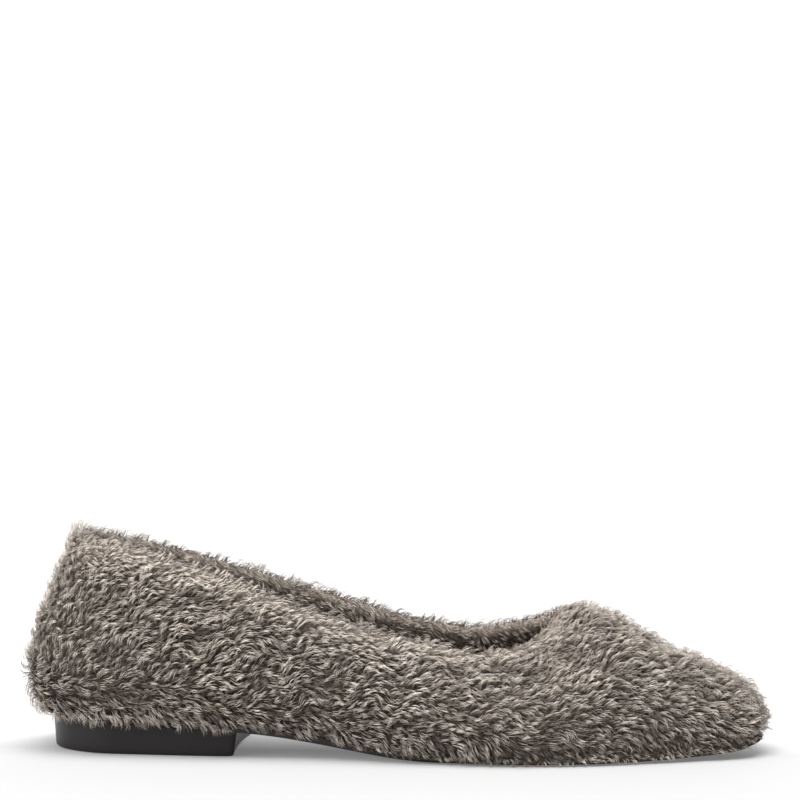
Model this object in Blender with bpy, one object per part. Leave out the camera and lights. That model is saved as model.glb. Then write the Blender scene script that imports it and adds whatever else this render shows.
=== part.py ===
"""Fur ballet flat for the right foot: outsole, low heel, insole, and a fur upper with its locks fused on.

The toe points along +X, the medial side is +Y and the shoe stands on Z = 0. Every piece is worked out
from one plan outline of the sole, one side profile of the sole and one skin surface, which is the outer
face of the upper's cloth.
"""

import math
import random

import bmesh
import bpy
import numpy as np
from mathutils import Vector

MM = 0.001

# Plan of the outsole
SHOE_LENGTH = 250.0 * MM
HEEL_WIDTH = 54.0 * MM
WAIST_WIDTH = 50.0 * MM
BALL_WIDTH = 76.0 * MM
TOE_WIDTH = 31.0 * MM
TOE_CORNER = 11.0 * MM
TOE_CORNER_POWER = 2.4

# Side profile of the outsole, from the floor to its underside
SOLE_THICKNESS = 3.5 * MM
SOLE_EDGE_ROUND = 0.9 * MM
SOLE_TOP_CHAMFER = 0.35 * MM
SEAT_BACK_HEIGHT = 13.0 * MM
SEAT_BREAST_HEIGHT = 8.7 * MM
BALL_START = 140.0 * MM
BALL_END = 196.0 * MM
TOE_SPRING = 2.4 * MM

# Heel block
HEEL_LENGTH = 69.0 * MM
HEEL_INSET = 1.0 * MM
HEEL_TAPER = 0.8 * MM
HEEL_EDGE_ROUND = 1.0 * MM
BREAST_LEAN = 1.2 * MM
BREAST_SCOOP = 1.5 * MM

# Insole
INSOLE_THICKNESS = 3.0 * MM
INSOLE_EDGE_ROUND = 0.8 * MM

# Skin of the upper: heights above the sole, the width of the opening and how far the sides bulge
BACK_RISE = 58.3 * MM
SIDE_RISE = 30.0 * MM
THROAT_RISE = 45.0 * MM
TOE_RISE = 15.8 * MM
OPENING_WIDTH = 58.0 * MM
SWELL = 10.0 * MM

# Cloth, and the dense part of the fur with the locks that stand on it
WALL = 2.5 * MM
PILE_BASE = 2.2 * MM
LOCK_LENGTH = 3.6 * MM
LOCK_LEAN = 3.4 * MM

# Band of fur inside the collar, and the fur rolled over the rim
BAND_DEPTH = 14.0 * MM
BAND_PILE = 1.4 * MM
BAND_LOCK = 2.2 * MM
RIM_PILE = 2.6 * MM

# Fringe that hangs past the sole's edge
SKIRT_DROP = 3.2 * MM
SKIRT_SPREAD = 1.3 * MM
SKIRT_FLOOR = 0.5 * MM

# Clearances between the pieces, and the free height that the lining keeps over the insole
SEAT_GAP = 0.3 * MM
SIDE_GAP = 0.8 * MM
INSOLE_GAP = 0.5 * MM
INSOLE_ROOM = 1.5 * MM

# Plan outline: share of the length, width, and how far the middle lies to the medial side in ball widths
OUTLINE = (
    # along, width, centre
    (0.00, HEEL_WIDTH * 0.90, 0.000),
    (0.10, HEEL_WIDTH * 0.96, -0.003),
    (0.23, HEEL_WIDTH * 1.02, -0.012),
    (0.42, WAIST_WIDTH * 1.00, -0.038),
    (0.56, BALL_WIDTH * 0.87, -0.025),
    (0.68, BALL_WIDTH * 1.00, 0.000),
    (0.77, BALL_WIDTH * 0.94, 0.015),
    (0.85, BALL_WIDTH * 0.78, 0.025),
    (0.92, TOE_WIDTH * 1.48, 0.028),
    (0.96, TOE_WIDTH * 1.23, 0.030),
    (1.00, TOE_WIDTH * 1.00, 0.030),
)

# The collar, from the back to the throat. side is the share of the way round the sole's edge, on either
# side. back and throat are shares of what those rises have over the side's rise, and medial is what the
# medial side has more, as a share of the side's rise. flare and tuck are shares of the swell at the sole
# and at the collar, and roll goes from 0 for an upright edge to 1 for one that lies flat.
COLLAR = (
    # side, along, centre, opening, back, throat, medial, flare, tuck, roll
    (0.000, 0.043, 0.000, 0.00, 1.000, 0.00, 0.00, 1.20, 0.70, 0.00),
    (0.050, 0.050, 0.000, 0.30, 0.965, 0.00, 0.01, 1.12, 0.66, 0.00),
    (0.100, 0.072, 0.000, 0.56, 0.935, 0.00, 0.00, 0.95, 0.55, 0.00),
    (0.160, 0.117, 0.000, 0.75, 0.915, 0.00, -0.05, 0.75, 0.32, 0.00),
    (0.250, 0.204, 0.000, 0.87, 0.770, 0.00, -0.07, 0.60, 0.36, 0.00),
    (0.360, 0.320, -0.005, 0.95, 0.467, 0.00, 0.01, 0.55, 0.40, 0.00),
    (0.470, 0.440, -0.012, 1.00, 0.304, 0.00, 0.03, 0.55, 0.45, 0.00),
    (0.580, 0.548, -0.010, 1.00, 0.160, 0.00, 0.05, 0.60, 0.60, 0.02),
    (0.650, 0.615, -0.002, 0.94, 0.064, 0.00, 0.11, 0.65, 0.80, 0.12),
    (0.700, 0.665, 0.006, 0.78, 0.010, 0.15, 0.17, 0.60, 0.90, 0.32),
    (0.740, 0.702, 0.013, 0.54, 0.000, 0.38, 0.17, 0.50, 0.90, 0.58),
    (0.772, 0.724, 0.018, 0.27, 0.000, 0.68, 0.10, 0.42, 0.90, 0.86),
    (0.793, 0.732, 0.020, 0.00, 0.000, 1.00, 0.00, 0.40, 0.90, 1.00),
)

# The ridge of the vamp, from the throat to the toe. lift is the share of the way from the toe's rise up
# to the throat's.
RIDGE = (
    # side, along, centre, lift, flare
    (0.793, 0.732, 0.020, 1.000, 0.40),
    (0.840, 0.784, 0.028, 0.880, 0.38),
    (0.880, 0.834, 0.032, 0.590, 0.36),
    (0.920, 0.884, 0.034, 0.355, 0.38),
    (0.960, 0.932, 0.034, 0.195, 0.45),
    (1.000, 0.970, 0.032, 0.000, 0.50),
)

# Handles of the curve that each column of the skin follows, as shares of its rise or of its way in plan
FOOT_LIFT = 0.24
FOOT_LIFT_ROLLED = 0.36
FOOT_REACH = 0.5
TOP_DROP = 0.33
TOP_REACH_ROLLED = 0.5

# Columns of the upper from the back of the heel to the toe, on one side, and how many of them are open
COLUMNS = 58
OPEN_COLUMNS = 46
SKIN_ROWS = 40
FUR_ROWS = 11
FIRST_ROOT = 0.03

# Inside the collar the band starts with a step, no lower than the insole's room, and fades past the throat
BAND_STEP = 0.04
BAND_FADE_COLUMNS = 2

# Two rings over the rim: shares of the pile that the outer and inner one stand off, and the inner's height
RIM_OUTER = 0.5
RIM_INNER = 0.3
RIM_INNER_RISE = 0.9

# How much the locks differ, and the way that they are combed: the rise for each step along the shoe, at the
# sole and at the collar. The toe's own comb takes over between two places on the way round.
LOCK_SEED = 7
ROOT_SHIFT = 0.26
ROOT_SWELL = 0.6 * MM
LOCK_TALL = (0.55, 1.15)
LOCK_REACH = (0.5, 1.2)
LOCK_SWAY = 0.4
SIDE_COMB = (-0.90, 0.70)
TOE_COMB = (-0.35, -0.10)
TOE_COMB_PLACES = (0.6, 0.9)
BAND_ROW = 0.8
BAND_LEAN = 0.5
RIM_LOCK = 0.7
RIM_LEAN = 0.5

# Fineness of the sole and heel. The middle point of a rounded edge lies this share of the radius in.
SOLE_COLUMNS = 40
EDGE_STEPS = 1200
HEEL_STEPS = 22
BREAST_STEPS = 8
HEEL_ROWS = 5
INSOLE_STRIDE = 2
EDGE_BEND = 1 - math.sqrt(0.5)
SHARP_ANGLE = math.radians(40)

LATERAL = -1
MEDIAL = 1
UP = np.array([0.0, 0.0, 1.0])


def curve(rows, column, at):
    """Smooth curve through a column of a table, whose first column is the place, read at the given places."""
    places = np.array([row[0] for row in rows], float)
    values = np.array([row[column] for row in rows], float)
    slopes = np.gradient(values, places)
    at = np.clip(np.asarray(at, float), places[0], places[-1])
    low = np.clip(np.searchsorted(places, at, side="right") - 1, 0, len(places) - 2)
    span = places[low + 1] - places[low]
    t = (at - places[low]) / span
    rise = values[low + 1] - values[low]
    bend = (1 - t) * (slopes[low] * span - rise) + t * (rise - slopes[low + 1] * span)
    return values[low] + t * rise + t * (1 - t) * bend


def unit(vectors):
    """The same vectors at length 1."""
    return vectors / np.maximum(np.linalg.norm(vectors, axis=-1, keepdims=True), 1e-12)


def half_width(x, side):
    """Distance from the shoe's long axis to the outsole's edge, with the round heel and the snipped toe."""
    along = x / SHOE_LENGTH
    width = curve(OUTLINE, 1, along) / 2
    heel_round = HEEL_WIDTH / 2
    back = np.clip((heel_round - x) / heel_round, 0, 1)
    front = np.clip((x - SHOE_LENGTH + TOE_CORNER) / TOE_CORNER, 0, 1)
    width = width * np.sqrt(1 - back**2)
    width = width * (1 - front**TOE_CORNER_POWER) ** (1 / TOE_CORNER_POWER)
    return curve(OUTLINE, 2, along) * BALL_WIDTH * side + width


def travelled(points):
    """Length of the way from the first point to each of the points."""
    steps = np.linalg.norm(np.diff(points, axis=0), axis=1)
    return np.concatenate([[0], np.cumsum(steps)])


def even_points(points, count):
    """The same way in plan with this many points at even steps."""
    travel = travelled(points)
    at = np.linspace(0, travel[-1], count)
    return np.stack([np.interp(at, travel, points[:, k]) for k in (0, 1)], axis=1)


def edge_of_side(side, columns):
    """Even points along one side of the outsole's edge, from the back of the heel to the toe's tip."""
    x = SHOE_LENGTH * (1 - np.cos(np.pi * np.linspace(0, 1, EDGE_STEPS))) / 2
    points = np.stack([x, side * half_width(x, side)], axis=1)
    return even_points(points, columns + 1)


def sole_edge(columns):
    """The outsole's edge and its normals: back of the heel, lateral side, toe's tip, medial side."""
    lateral = edge_of_side(LATERAL, columns)
    medial = edge_of_side(MEDIAL, columns)
    ring = np.concatenate([lateral, medial[-2:0:-1]])
    ahead = np.roll(ring, -1, axis=0) - np.roll(ring, 1, axis=0)
    outward = unit(np.stack([ahead[:, 1], -ahead[:, 0]], axis=1))
    return ring, outward


def sole_bottom(x):
    """Height of the outsole's underside: sloping heel seat, arch, flat ball, toe spring."""
    x = np.clip(x, 0, SHOE_LENGTH)
    slope = (SEAT_BREAST_HEIGHT - SEAT_BACK_HEIGHT) / HEEL_LENGTH
    seat = SEAT_BACK_HEIGHT + slope * x
    span = BALL_START - HEEL_LENGTH
    t = np.clip((x - HEEL_LENGTH) / span, 0, 1)
    arch = SEAT_BREAST_HEIGHT * (2 * t**3 - 3 * t**2 + 1) + slope * span * (t**3 - 2 * t**2 + t)
    toe = TOE_SPRING * np.clip((x - BALL_END) / (SHOE_LENGTH - BALL_END), 0, 1) ** 2
    return np.where(x <= HEEL_LENGTH, seat, arch) + toe


def sole_top(x):
    """Height of the outsole's upper face."""
    return sole_bottom(x) + SOLE_THICKNESS


def mirror(column):
    """The column at the same place on the other side of the shoe."""
    return (2 * COLUMNS - column) % (2 * COLUMNS)


def steps_round(column):
    """How many columns lie between this one and the back of the heel."""
    return min(column, 2 * COLUMNS - column)


def is_open(column):
    """True for a column that ends at the collar, the throat's middle included."""
    return steps_round(column) <= OPEN_COLUMNS


def top_line():
    """For each column, its top point on the collar or the ridge, with its rise, swells and roll there."""
    steps = np.array([steps_round(column) for column in range(2 * COLUMNS)])
    signs = np.array([LATERAL if column <= COLUMNS else MEDIAL for column in range(2 * COLUMNS)])
    throat_side = COLLAR[-1][0]
    collar_at = np.clip(steps / OPEN_COLUMNS, 0, 1) * throat_side
    past_throat = np.clip((steps - OPEN_COLUMNS) / (COLUMNS - OPEN_COLUMNS), 0, 1)
    ridge_at = throat_side + past_throat * (1 - throat_side)
    at_collar = steps <= OPEN_COLUMNS
    along = np.where(at_collar, curve(COLLAR, 1, collar_at), curve(RIDGE, 1, ridge_at))
    centre = np.where(at_collar, curve(COLLAR, 2, collar_at), curve(RIDGE, 2, ridge_at))
    opening = np.where(at_collar, np.maximum(curve(COLLAR, 3, collar_at), 0), 0)
    collar_rise = SIDE_RISE + curve(COLLAR, 4, collar_at) * (BACK_RISE - SIDE_RISE)
    collar_rise = collar_rise + curve(COLLAR, 5, collar_at) * (THROAT_RISE - SIDE_RISE)
    collar_rise = collar_rise + curve(COLLAR, 6, collar_at) * SIDE_RISE * (signs == MEDIAL)
    ridge_rise = TOE_RISE + curve(RIDGE, 3, ridge_at) * (THROAT_RISE - TOE_RISE)
    rise = np.where(at_collar, collar_rise, ridge_rise)
    flare = np.where(at_collar, curve(COLLAR, 7, collar_at), curve(RIDGE, 4, ridge_at)) * SWELL
    tuck = np.where(at_collar, curve(COLLAR, 8, collar_at), COLLAR[-1][8]) * SWELL
    roll = np.where(at_collar, np.clip(curve(COLLAR, 9, collar_at), 0, 1), 1.0)
    x = along * SHOE_LENGTH
    y = centre * BALL_WIDTH + signs * opening * OPENING_WIDTH / 2
    return np.stack([x, y, sole_top(x) + rise], axis=1), rise, flare, tuck, roll


def skin_surface():
    """The skin's points[column, row] from the sole up, their normals, the way out of the sole, the rise."""
    edge, outward = sole_edge(COLUMNS)
    top, rise, flare, tuck, roll = top_line()
    foot = np.column_stack([edge, sole_top(edge[:, 0]) + SEAT_GAP])
    out = np.column_stack([outward, np.zeros(2 * COLUMNS)])
    overhang = np.maximum(((top - foot) * out).sum(axis=1), 0)
    lift = (FOOT_LIFT + FOOT_LIFT_ROLLED * roll) * rise
    low_handle = foot + out * (flare + FOOT_REACH * overhang)[:, None] + UP * lift[:, None]
    upright = out * tuck[:, None] - UP * (TOP_DROP * rise)[:, None]
    flat = (foot - top) * (1 - UP) * TOP_REACH_ROLLED
    high_handle = top + (1 - roll)[:, None] * upright + roll[:, None] * flat
    v = np.linspace(0, 1, SKIN_ROWS + 1)[None, :, None]
    points = (
        (1 - v) ** 3 * foot[:, None]
        + 3 * (1 - v) ** 2 * v * low_handle[:, None]
        + 3 * (1 - v) * v**2 * high_handle[:, None]
        + v**3 * top[:, None]
    )
    return points, skin_normals(points), out, rise


def skin_normals(points):
    """Normals of the skin's points, shared where the two sides meet along the ridge."""
    following = np.roll(points, -1, axis=0)
    diagonal_up = following[:, 1:] - points[:, :-1]
    diagonal_back = points[:, 1:] - following[:, :-1]
    face = np.cross(diagonal_up, diagonal_back)
    normals = np.zeros_like(points)
    for shift in (0, 1):
        faces = np.roll(face, shift, axis=0)
        normals[:, :-1] += faces
        normals[:, 1:] += faces
    for column in range(OPEN_COLUMNS, COLUMNS):
        other = mirror(column)
        shared = normals[column, -1] + normals[other, -1]
        normals[column, -1] = shared
        normals[other, -1] = shared
    return unit(normals)


def read_rows(surface, shares):
    """The surface read at these shares of the way up, one row of shares for all columns or one for each."""
    shares = np.broadcast_to(shares, (surface.shape[0], np.shape(shares)[-1]))
    place = np.clip(shares, 0, 1) * SKIN_ROWS
    low = np.clip(place.astype(int), 0, SKIN_ROWS - 1)
    t = (place - low)[..., None]
    columns = np.arange(surface.shape[0])[:, None]
    return surface[columns, low] * (1 - t) + surface[columns, low + 1] * t


def collar_outward(points, normals):
    """At the top of each open column, the way out of the skin past its edge."""
    tops = points[:, -1]
    away = np.zeros_like(tops)
    for column in range(2 * COLUMNS):
        if not is_open(column):
            continue
        before = (column - 1) % (2 * COLUMNS)
        after = (column + 1) % (2 * COLUMNS)
        if column == OPEN_COLUMNS:
            after = mirror(OPEN_COLUMNS - 1)
        if column == mirror(OPEN_COLUMNS):
            before = OPEN_COLUMNS - 1
        tangent = tops[after] - tops[before]
        away[column] = np.cross(normals[column, -1], tangent)
    return unit(away)


def band_share():
    """How much of the fur band each column has on its inner face: all at the collar, none along the vamp."""
    past = np.array([max(steps_round(column) - OPEN_COLUMNS, 0) for column in range(2 * COLUMNS)])
    return np.clip(1 - past / BAND_FADE_COLUMNS, 0, 1)


def fur_rows(points, normals, out):
    """Outer face of the fur: a skirt ring past the sole's edge, then rings up the skin, out by the pile."""
    shares = np.linspace(FIRST_ROOT, 1, FUR_ROWS)
    rings = read_rows(points, shares) + read_rows(normals, shares) * PILE_BASE
    foot = points[:, 0]
    skirt = foot + out * (SIDE_GAP + PILE_BASE + SKIRT_SPREAD)
    skirt[:, 2] = np.maximum(foot[:, 2] - SKIRT_DROP, SKIRT_FLOOR + SEAT_GAP)
    return ruffle(np.concatenate([skirt[:, None], rings], axis=1))


def lining_rows(points, normals, out, rise):
    """Inner face: a smooth lining, a step, then the fur band up to the collar."""
    rise = rise[:, None]
    foot = np.zeros_like(rise)
    room = (INSOLE_THICKNESS + INSOLE_ROOM) / rise
    start = np.maximum(1 - BAND_DEPTH / rise, room + BAND_STEP)
    stepped = start + BAND_STEP
    lining = (foot, room, (room + start) / 2, start)
    band = (stepped, (stepped + 1) / 2, np.ones_like(rise))
    shares = np.concatenate(lining + band, axis=1)
    pile = BAND_PILE * band_share()[:, None]
    depth = np.concatenate([np.repeat(foot + WALL, len(lining), 1), np.repeat(pile + WALL, len(band), 1)], 1)
    rings = read_rows(points, shares) - read_rows(normals, shares) * depth[..., None]
    rings[:, 0] = points[:, 0] - out * WALL
    return rings, len(lining)


def rim_rows(points, normals):
    """Two rings that roll the fur over the collar, from the outer face to the inner one."""
    away = collar_outward(points, normals)
    top = points[:, -1]
    normal = normals[:, -1]
    outer = top + normal * PILE_BASE * RIM_OUTER + away * RIM_PILE
    inner = top - normal * (WALL + BAND_PILE * RIM_INNER) + away * RIM_PILE * RIM_INNER_RISE
    return np.stack([outer, inner], axis=1)


def ruffle(rings):
    """Moves the roots of the locks a little along and across the skin, all but the first and last ring."""
    source = np.random.default_rng(LOCK_SEED)
    count, rows = rings.shape[:2]
    amounts = source.uniform(-1, 1, (count, rows - 2, 3))
    inner = rings[:, 1:-1]
    along = (np.roll(rings, -1, axis=0) - np.roll(rings, 1, axis=0))[:, 1:-1] / 2
    upward = (rings[:, 2:] - rings[:, :-2]) / 2
    outward = unit(np.cross(along, upward)) * ROOT_SWELL
    moved = inner + along * amounts[..., :1] * ROOT_SHIFT + upward * amounts[..., 1:2] * ROOT_SHIFT
    moved = moved + outward * amounts[..., 2:]
    return np.concatenate([rings[:, :1], moved, rings[:, -1:]], axis=1)


def comb(column_share, row_share, along, upward):
    """The way that the locks lie: down at the sole and up at the collar, and towards the toe on the vamp."""
    side_rise = SIDE_COMB[0] + (SIDE_COMB[1] - SIDE_COMB[0]) * row_share
    toe_rise = TOE_COMB[0] + (TOE_COMB[1] - TOE_COMB[0]) * row_share
    first, last = TOE_COMB_PLACES
    toe_share = min(max((column_share - first) / (last - first), 0.0), 1.0)
    return (along + upward * (side_rise * (1 - toe_share) + toe_rise * toe_share)).normalized()


class Shell:
    """A mesh of rings, with the faces that carry fur locks remembered."""

    def __init__(self):
        self.mesh = bmesh.new()
        self.locks = []

    def ring_points(self, points):
        """New points of the mesh, one for each place."""
        return [self.mesh.verts.new(Vector(p)) for p in points]

    def quad(self, corners, lock=None):
        """A face between the corners, without those that are the same point."""
        kept = []
        for corner in corners:
            if corner not in kept:
                kept.append(corner)
        if len(kept) < 3:
            return
        face = self.mesh.faces.new(kept)
        if lock:
            self.locks.append((face, lock))

    def strip(self, low, high):
        """Faces between two rings of the same count."""
        for c in range(len(low)):
            after = (c + 1) % len(low)
            self.quad((low[c], low[after], high[after], high[c]))

    def raise_locks(self):
        """Pokes each fur face and pulls its middle out into the tip of a lock."""
        source = random.Random(LOCK_SEED)
        self.mesh.normal_update()
        for face, (length, lean, column_share, row_share) in self.locks:
            along = (face.verts[1].co - face.verts[0].co).normalized()
            normal = face.normal.copy()
            upward = normal.cross(along).normalized()
            if upward.z < 0:
                upward = -upward
            if along.x < 0:
                along = -along
            way = comb(column_share, row_share, along, upward)
            across = normal.cross(way)
            tall = length * source.uniform(*LOCK_TALL)
            reach = lean * source.uniform(*LOCK_REACH)
            sway = lean * source.uniform(-LOCK_SWAY, LOCK_SWAY)
            middle = face.calc_center_median()
            tip = middle + normal * tall + way * reach + across * sway
            tip.z = max(tip.z, SKIRT_FLOOR)
            made = bmesh.ops.poke(self.mesh, faces=[face])
            made["verts"][0].co = tip


def build_upper():
    """The fur upper as one hollow solid."""
    points, normals, out, rise = skin_surface()
    outer = fur_rows(points, normals, out)
    inner, band_start = lining_rows(points, normals, out, rise)
    rim = rim_rows(points, normals)
    ledge = points[:, 0] + out * SIDE_GAP
    hem = ledge.copy()
    hem[:, 2] = outer[:, 0, 2] + SEAT_GAP
    shell = Shell()
    chains = []
    for column in range(2 * COLUMNS):
        chain = {
            "outer": shell.ring_points(outer[column]),
            "inner": shell.ring_points(inner[column]),
            "ledge": shell.ring_points([ledge[column], hem[column]]),
        }
        if is_open(column):
            chain["rim"] = shell.ring_points(rim[column])
        chains.append(chain)
    for column in range(OPEN_COLUMNS, COLUMNS):
        join_ridge(shell, chains[column], chains[mirror(column)])
    for column in range(2 * COLUMNS):
        after = (column + 1) % (2 * COLUMNS)
        fill_strip(shell, chains[column], chains[after], steps_round(column) / COLUMNS, band_start)
    shell.raise_locks()
    return finish_mesh(shell.mesh, "upper")


def join_ridge(shell, lateral, medial):
    """Both sides share the points on the ridge, and the rim's points at the middle of the throat."""
    pairs = [(lateral["outer"], medial["outer"], -1), (lateral["inner"], medial["inner"], -1)]
    if "rim" in lateral:
        pairs += [(lateral["rim"], medial["rim"], 0), (lateral["rim"], medial["rim"], 1)]
    for first, second, place in pairs:
        first[place].co = (first[place].co + second[place].co) / 2
        shell.mesh.verts.remove(second[place])
        second[place] = first[place]


def fill_strip(shell, here, there, column_share, band_start):
    """Faces between two neighbouring columns, wound to face out of the wall."""
    at_collar = "rim" in here and "rim" in there
    for row in range(FUR_ROWS):
        corners = (here["outer"][row], there["outer"][row], there["outer"][row + 1], here["outer"][row + 1])
        shell.quad(corners, (LOCK_LENGTH, LOCK_LEAN, column_share, row / FUR_ROWS))
    band_lock = (BAND_LOCK, BAND_LOCK * BAND_LEAN, column_share, BAND_ROW)
    for row in range(len(here["inner"]) - 1):
        corners = (here["inner"][row + 1], there["inner"][row + 1], there["inner"][row], here["inner"][row])
        shell.quad(corners, band_lock if at_collar and row >= band_start else None)
    if at_collar:
        rim_lock = (RIM_PILE * RIM_LOCK, RIM_PILE * RIM_LEAN, column_share, 1.0)
        over = [here["outer"][-1], *here["rim"], here["inner"][-1]]
        over_there = [there["outer"][-1], *there["rim"], there["inner"][-1]]
        for row in range(len(over) - 1):
            shell.quad((over[row], over_there[row], over_there[row + 1], over[row + 1]), rim_lock)
    under = [here["inner"][0], *here["ledge"], here["outer"][0]]
    under_there = [there["inner"][0], *there["ledge"], there["outer"][0]]
    for row in range(len(under) - 1):
        shell.quad((under[row], under_there[row], under_there[row + 1], under[row + 1]))


def finish_mesh(mesh, name):
    """The bmesh as a new object's mesh, triangulated."""
    bmesh.ops.triangulate(mesh, faces=mesh.faces)
    data = bpy.data.meshes.new(name)
    mesh.to_mesh(data)
    mesh.free()
    data.set_sharp_from_angle(angle=SHARP_ANGLE)
    return data


def cap(shell, ring, side_steps, facing_down):
    """Closes a ring with ribs from side to side, and one from half to half of what is past the sides."""
    count = len(ring)
    front = ring[side_steps : count - side_steps + 1]
    ribs = [(ring[c], ring[c + 1], ring[-c - 1], ring[(count - c) % count]) for c in range(side_steps)]
    for c in range(len(front) // 2):
        ribs.append((front[c], front[c + 1], front[-c - 2], front[-c - 1]))
    for corners in ribs:
        shell.quad(corners[::-1] if facing_down else corners)


def stacked_rings(rings, name, side_steps):
    """A closed solid from rings of the same count, bottom first, capped at both ends."""
    shell = Shell()
    rows = [shell.ring_points(ring) for ring in rings]
    cap(shell, rows[0], side_steps, True)
    for low, high in zip(rows, rows[1:]):
        shell.strip(low, high)
    cap(shell, rows[-1], side_steps, False)
    return finish_mesh(shell.mesh, name)


def raised_ring(edge, outward, offset, height):
    """The outline moved out by offset, at the height that the function gives for each x."""
    plan = edge + outward * offset
    return np.column_stack([plan, height(np.clip(plan[:, 0], 0, SHOE_LENGTH))])


def build_outsole():
    """Thin outsole with a rounded lower edge and a small chamfer on the upper one."""
    edge, outward = sole_edge(SOLE_COLUMNS)
    bend = SOLE_EDGE_ROUND * EDGE_BEND
    rings = [
        raised_ring(edge, outward, -SOLE_EDGE_ROUND, sole_bottom),
        raised_ring(edge, outward, -bend, lambda x: sole_bottom(x) + bend),
        raised_ring(edge, outward, 0, lambda x: sole_bottom(x) + SOLE_EDGE_ROUND),
        raised_ring(edge, outward, 0, lambda x: sole_top(x) - SOLE_TOP_CHAMFER),
        raised_ring(edge, outward, -SOLE_TOP_CHAMFER, sole_top),
    ]
    return stacked_rings(rings, "outsole", SOLE_COLUMNS)


def build_insole():
    """Padded insole that fills the upper's floor up to the lining, with its upper edge chamfered."""
    points, normals, out, rise = skin_surface()
    lining, _ = lining_rows(points, normals, out, rise)
    kept = np.arange(0, 2 * COLUMNS, INSOLE_STRIDE)
    low, high = lining[kept, 0], lining[kept, 1]
    profile = (
        # height, inset
        (0.0, INSOLE_GAP),
        (INSOLE_THICKNESS - INSOLE_EDGE_ROUND, INSOLE_GAP),
        (INSOLE_THICKNESS, INSOLE_GAP + INSOLE_EDGE_ROUND),
    )
    rings = []
    for height, inset in profile:
        share = (height / (high[:, 2] - low[:, 2]))[:, None]
        plan = low + (high - low) * share - out[kept] * inset
        z = sole_top(plan[:, 0]) + SEAT_GAP + height
        rings.append(np.column_stack([plan[:, 0], plan[:, 1], z]))
    return stacked_rings(rings, "insole", COLUMNS // INSOLE_STRIDE)


def heel_ring(front, inset):
    """One ring of the heel in plan: round the back inside the sole's edge, then across the breast."""
    sides = []
    for side in (LATERAL, MEDIAL):
        edge = edge_of_side(side, EDGE_STEPS)
        ahead = np.gradient(edge, axis=0)
        run = edge + side * inset * unit(np.stack([ahead[:, 1], -ahead[:, 0]], axis=1))
        behind = run[run[:, 0] < front]
        beyond = run[len(behind)]
        t = (front - behind[-1, 0]) / (beyond[0] - behind[-1, 0])
        last = behind[-1] + (beyond - behind[-1]) * t
        sides.append(even_points(np.concatenate([behind, [last]]), HEEL_STEPS + 1))
    lateral, medial = sides
    middle = (lateral[0] + medial[0]) / 2
    across = np.linspace(0, 1, BREAST_STEPS + 1)[1:-1, None]
    breast = lateral[-1] * (1 - across) + medial[-1] * across
    breast[:, 0] -= BREAST_SCOOP * np.sin(np.pi * across[:, 0])
    return np.concatenate([[middle], lateral[1:], breast, medial[:0:-1]])


def build_heel():
    """Low block heel: round back, slight taper, leaning and slightly scooped breast."""
    round_share = HEEL_EDGE_ROUND / SEAT_BACK_HEIGHT
    levels = [(0.0, 1.0), (round_share * EDGE_BEND, EDGE_BEND)]
    levels += [(share, 0.0) for share in np.linspace(round_share, 1, HEEL_ROWS)]
    rings = []
    for share, rounding in levels:
        rounded = HEEL_EDGE_ROUND * rounding
        front = HEEL_LENGTH + BREAST_LEAN * share - rounded
        plan = heel_ring(front, HEEL_INSET + HEEL_TAPER * (1 - share) + rounded)
        z = (sole_bottom(plan[:, 0]) - SEAT_GAP) * share
        rings.append(np.column_stack([plan, z]))
    return stacked_rings(rings, "heel", HEEL_STEPS)


def material(name, colour, roughness):
    """A Principled material of one colour."""
    made = bpy.data.materials.new(name)
    made.use_nodes = True
    shader = made.node_tree.nodes["Principled BSDF"]
    shader.inputs["Base Color"].default_value = (*colour, 1.0)
    shader.inputs["Roughness"].default_value = roughness
    shader.inputs["Metallic"].default_value = 0.0
    return made


def place(data, finish, origin):
    """An object for the mesh, with its material, moved so that the shoe's middle is the origin."""
    piece = bpy.data.objects.new(data.name, data)
    data.materials.append(finish)
    bpy.context.scene.collection.objects.link(piece)
    piece.location = -origin


def bounds_middle(meshes):
    """The middle of the shoe's box in plan, at the floor."""
    corners = np.array([vertex.co for data in meshes for vertex in data.vertices])
    low, high = corners.min(axis=0), corners.max(axis=0)
    return Vector(((low[0] + high[0]) / 2, (low[1] + high[1]) / 2, 0.0))


def main():
    """Clears the scene and builds the four pieces."""
    for old in list(bpy.data.objects):
        bpy.data.objects.remove(old)
    upper = build_upper()
    outsole = build_outsole()
    insole = build_insole()
    heel = build_heel()
    origin = bounds_middle([upper, outsole, insole, heel])
    place(upper, material("taupe fur", (0.155, 0.130, 0.112), 0.90), origin)
    place(outsole, material("dark rubber", (0.035, 0.032, 0.031), 0.60), origin)
    place(insole, material("insole suede", (0.100, 0.082, 0.070), 0.85), origin)
    place(heel, material("dark moulded heel", (0.040, 0.035, 0.034), 0.45), origin)


main()
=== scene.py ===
"""Fur ballet flat for the right foot, in long curly taupe plush: its looks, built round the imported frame.

The skin is the outer face of the upper's cloth, worked out from the same sizes and tables as the frame's
solids. The cloth shell lies on it, and Geometry Nodes root the plush on it and comb it. The sole, the heel
and the insole are smooth copies of their solids. Shoe coordinates start at the back of the outsole, with
the toe along +X and the medial side along +Y, and SHIFT takes them to the frame.
"""

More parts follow.
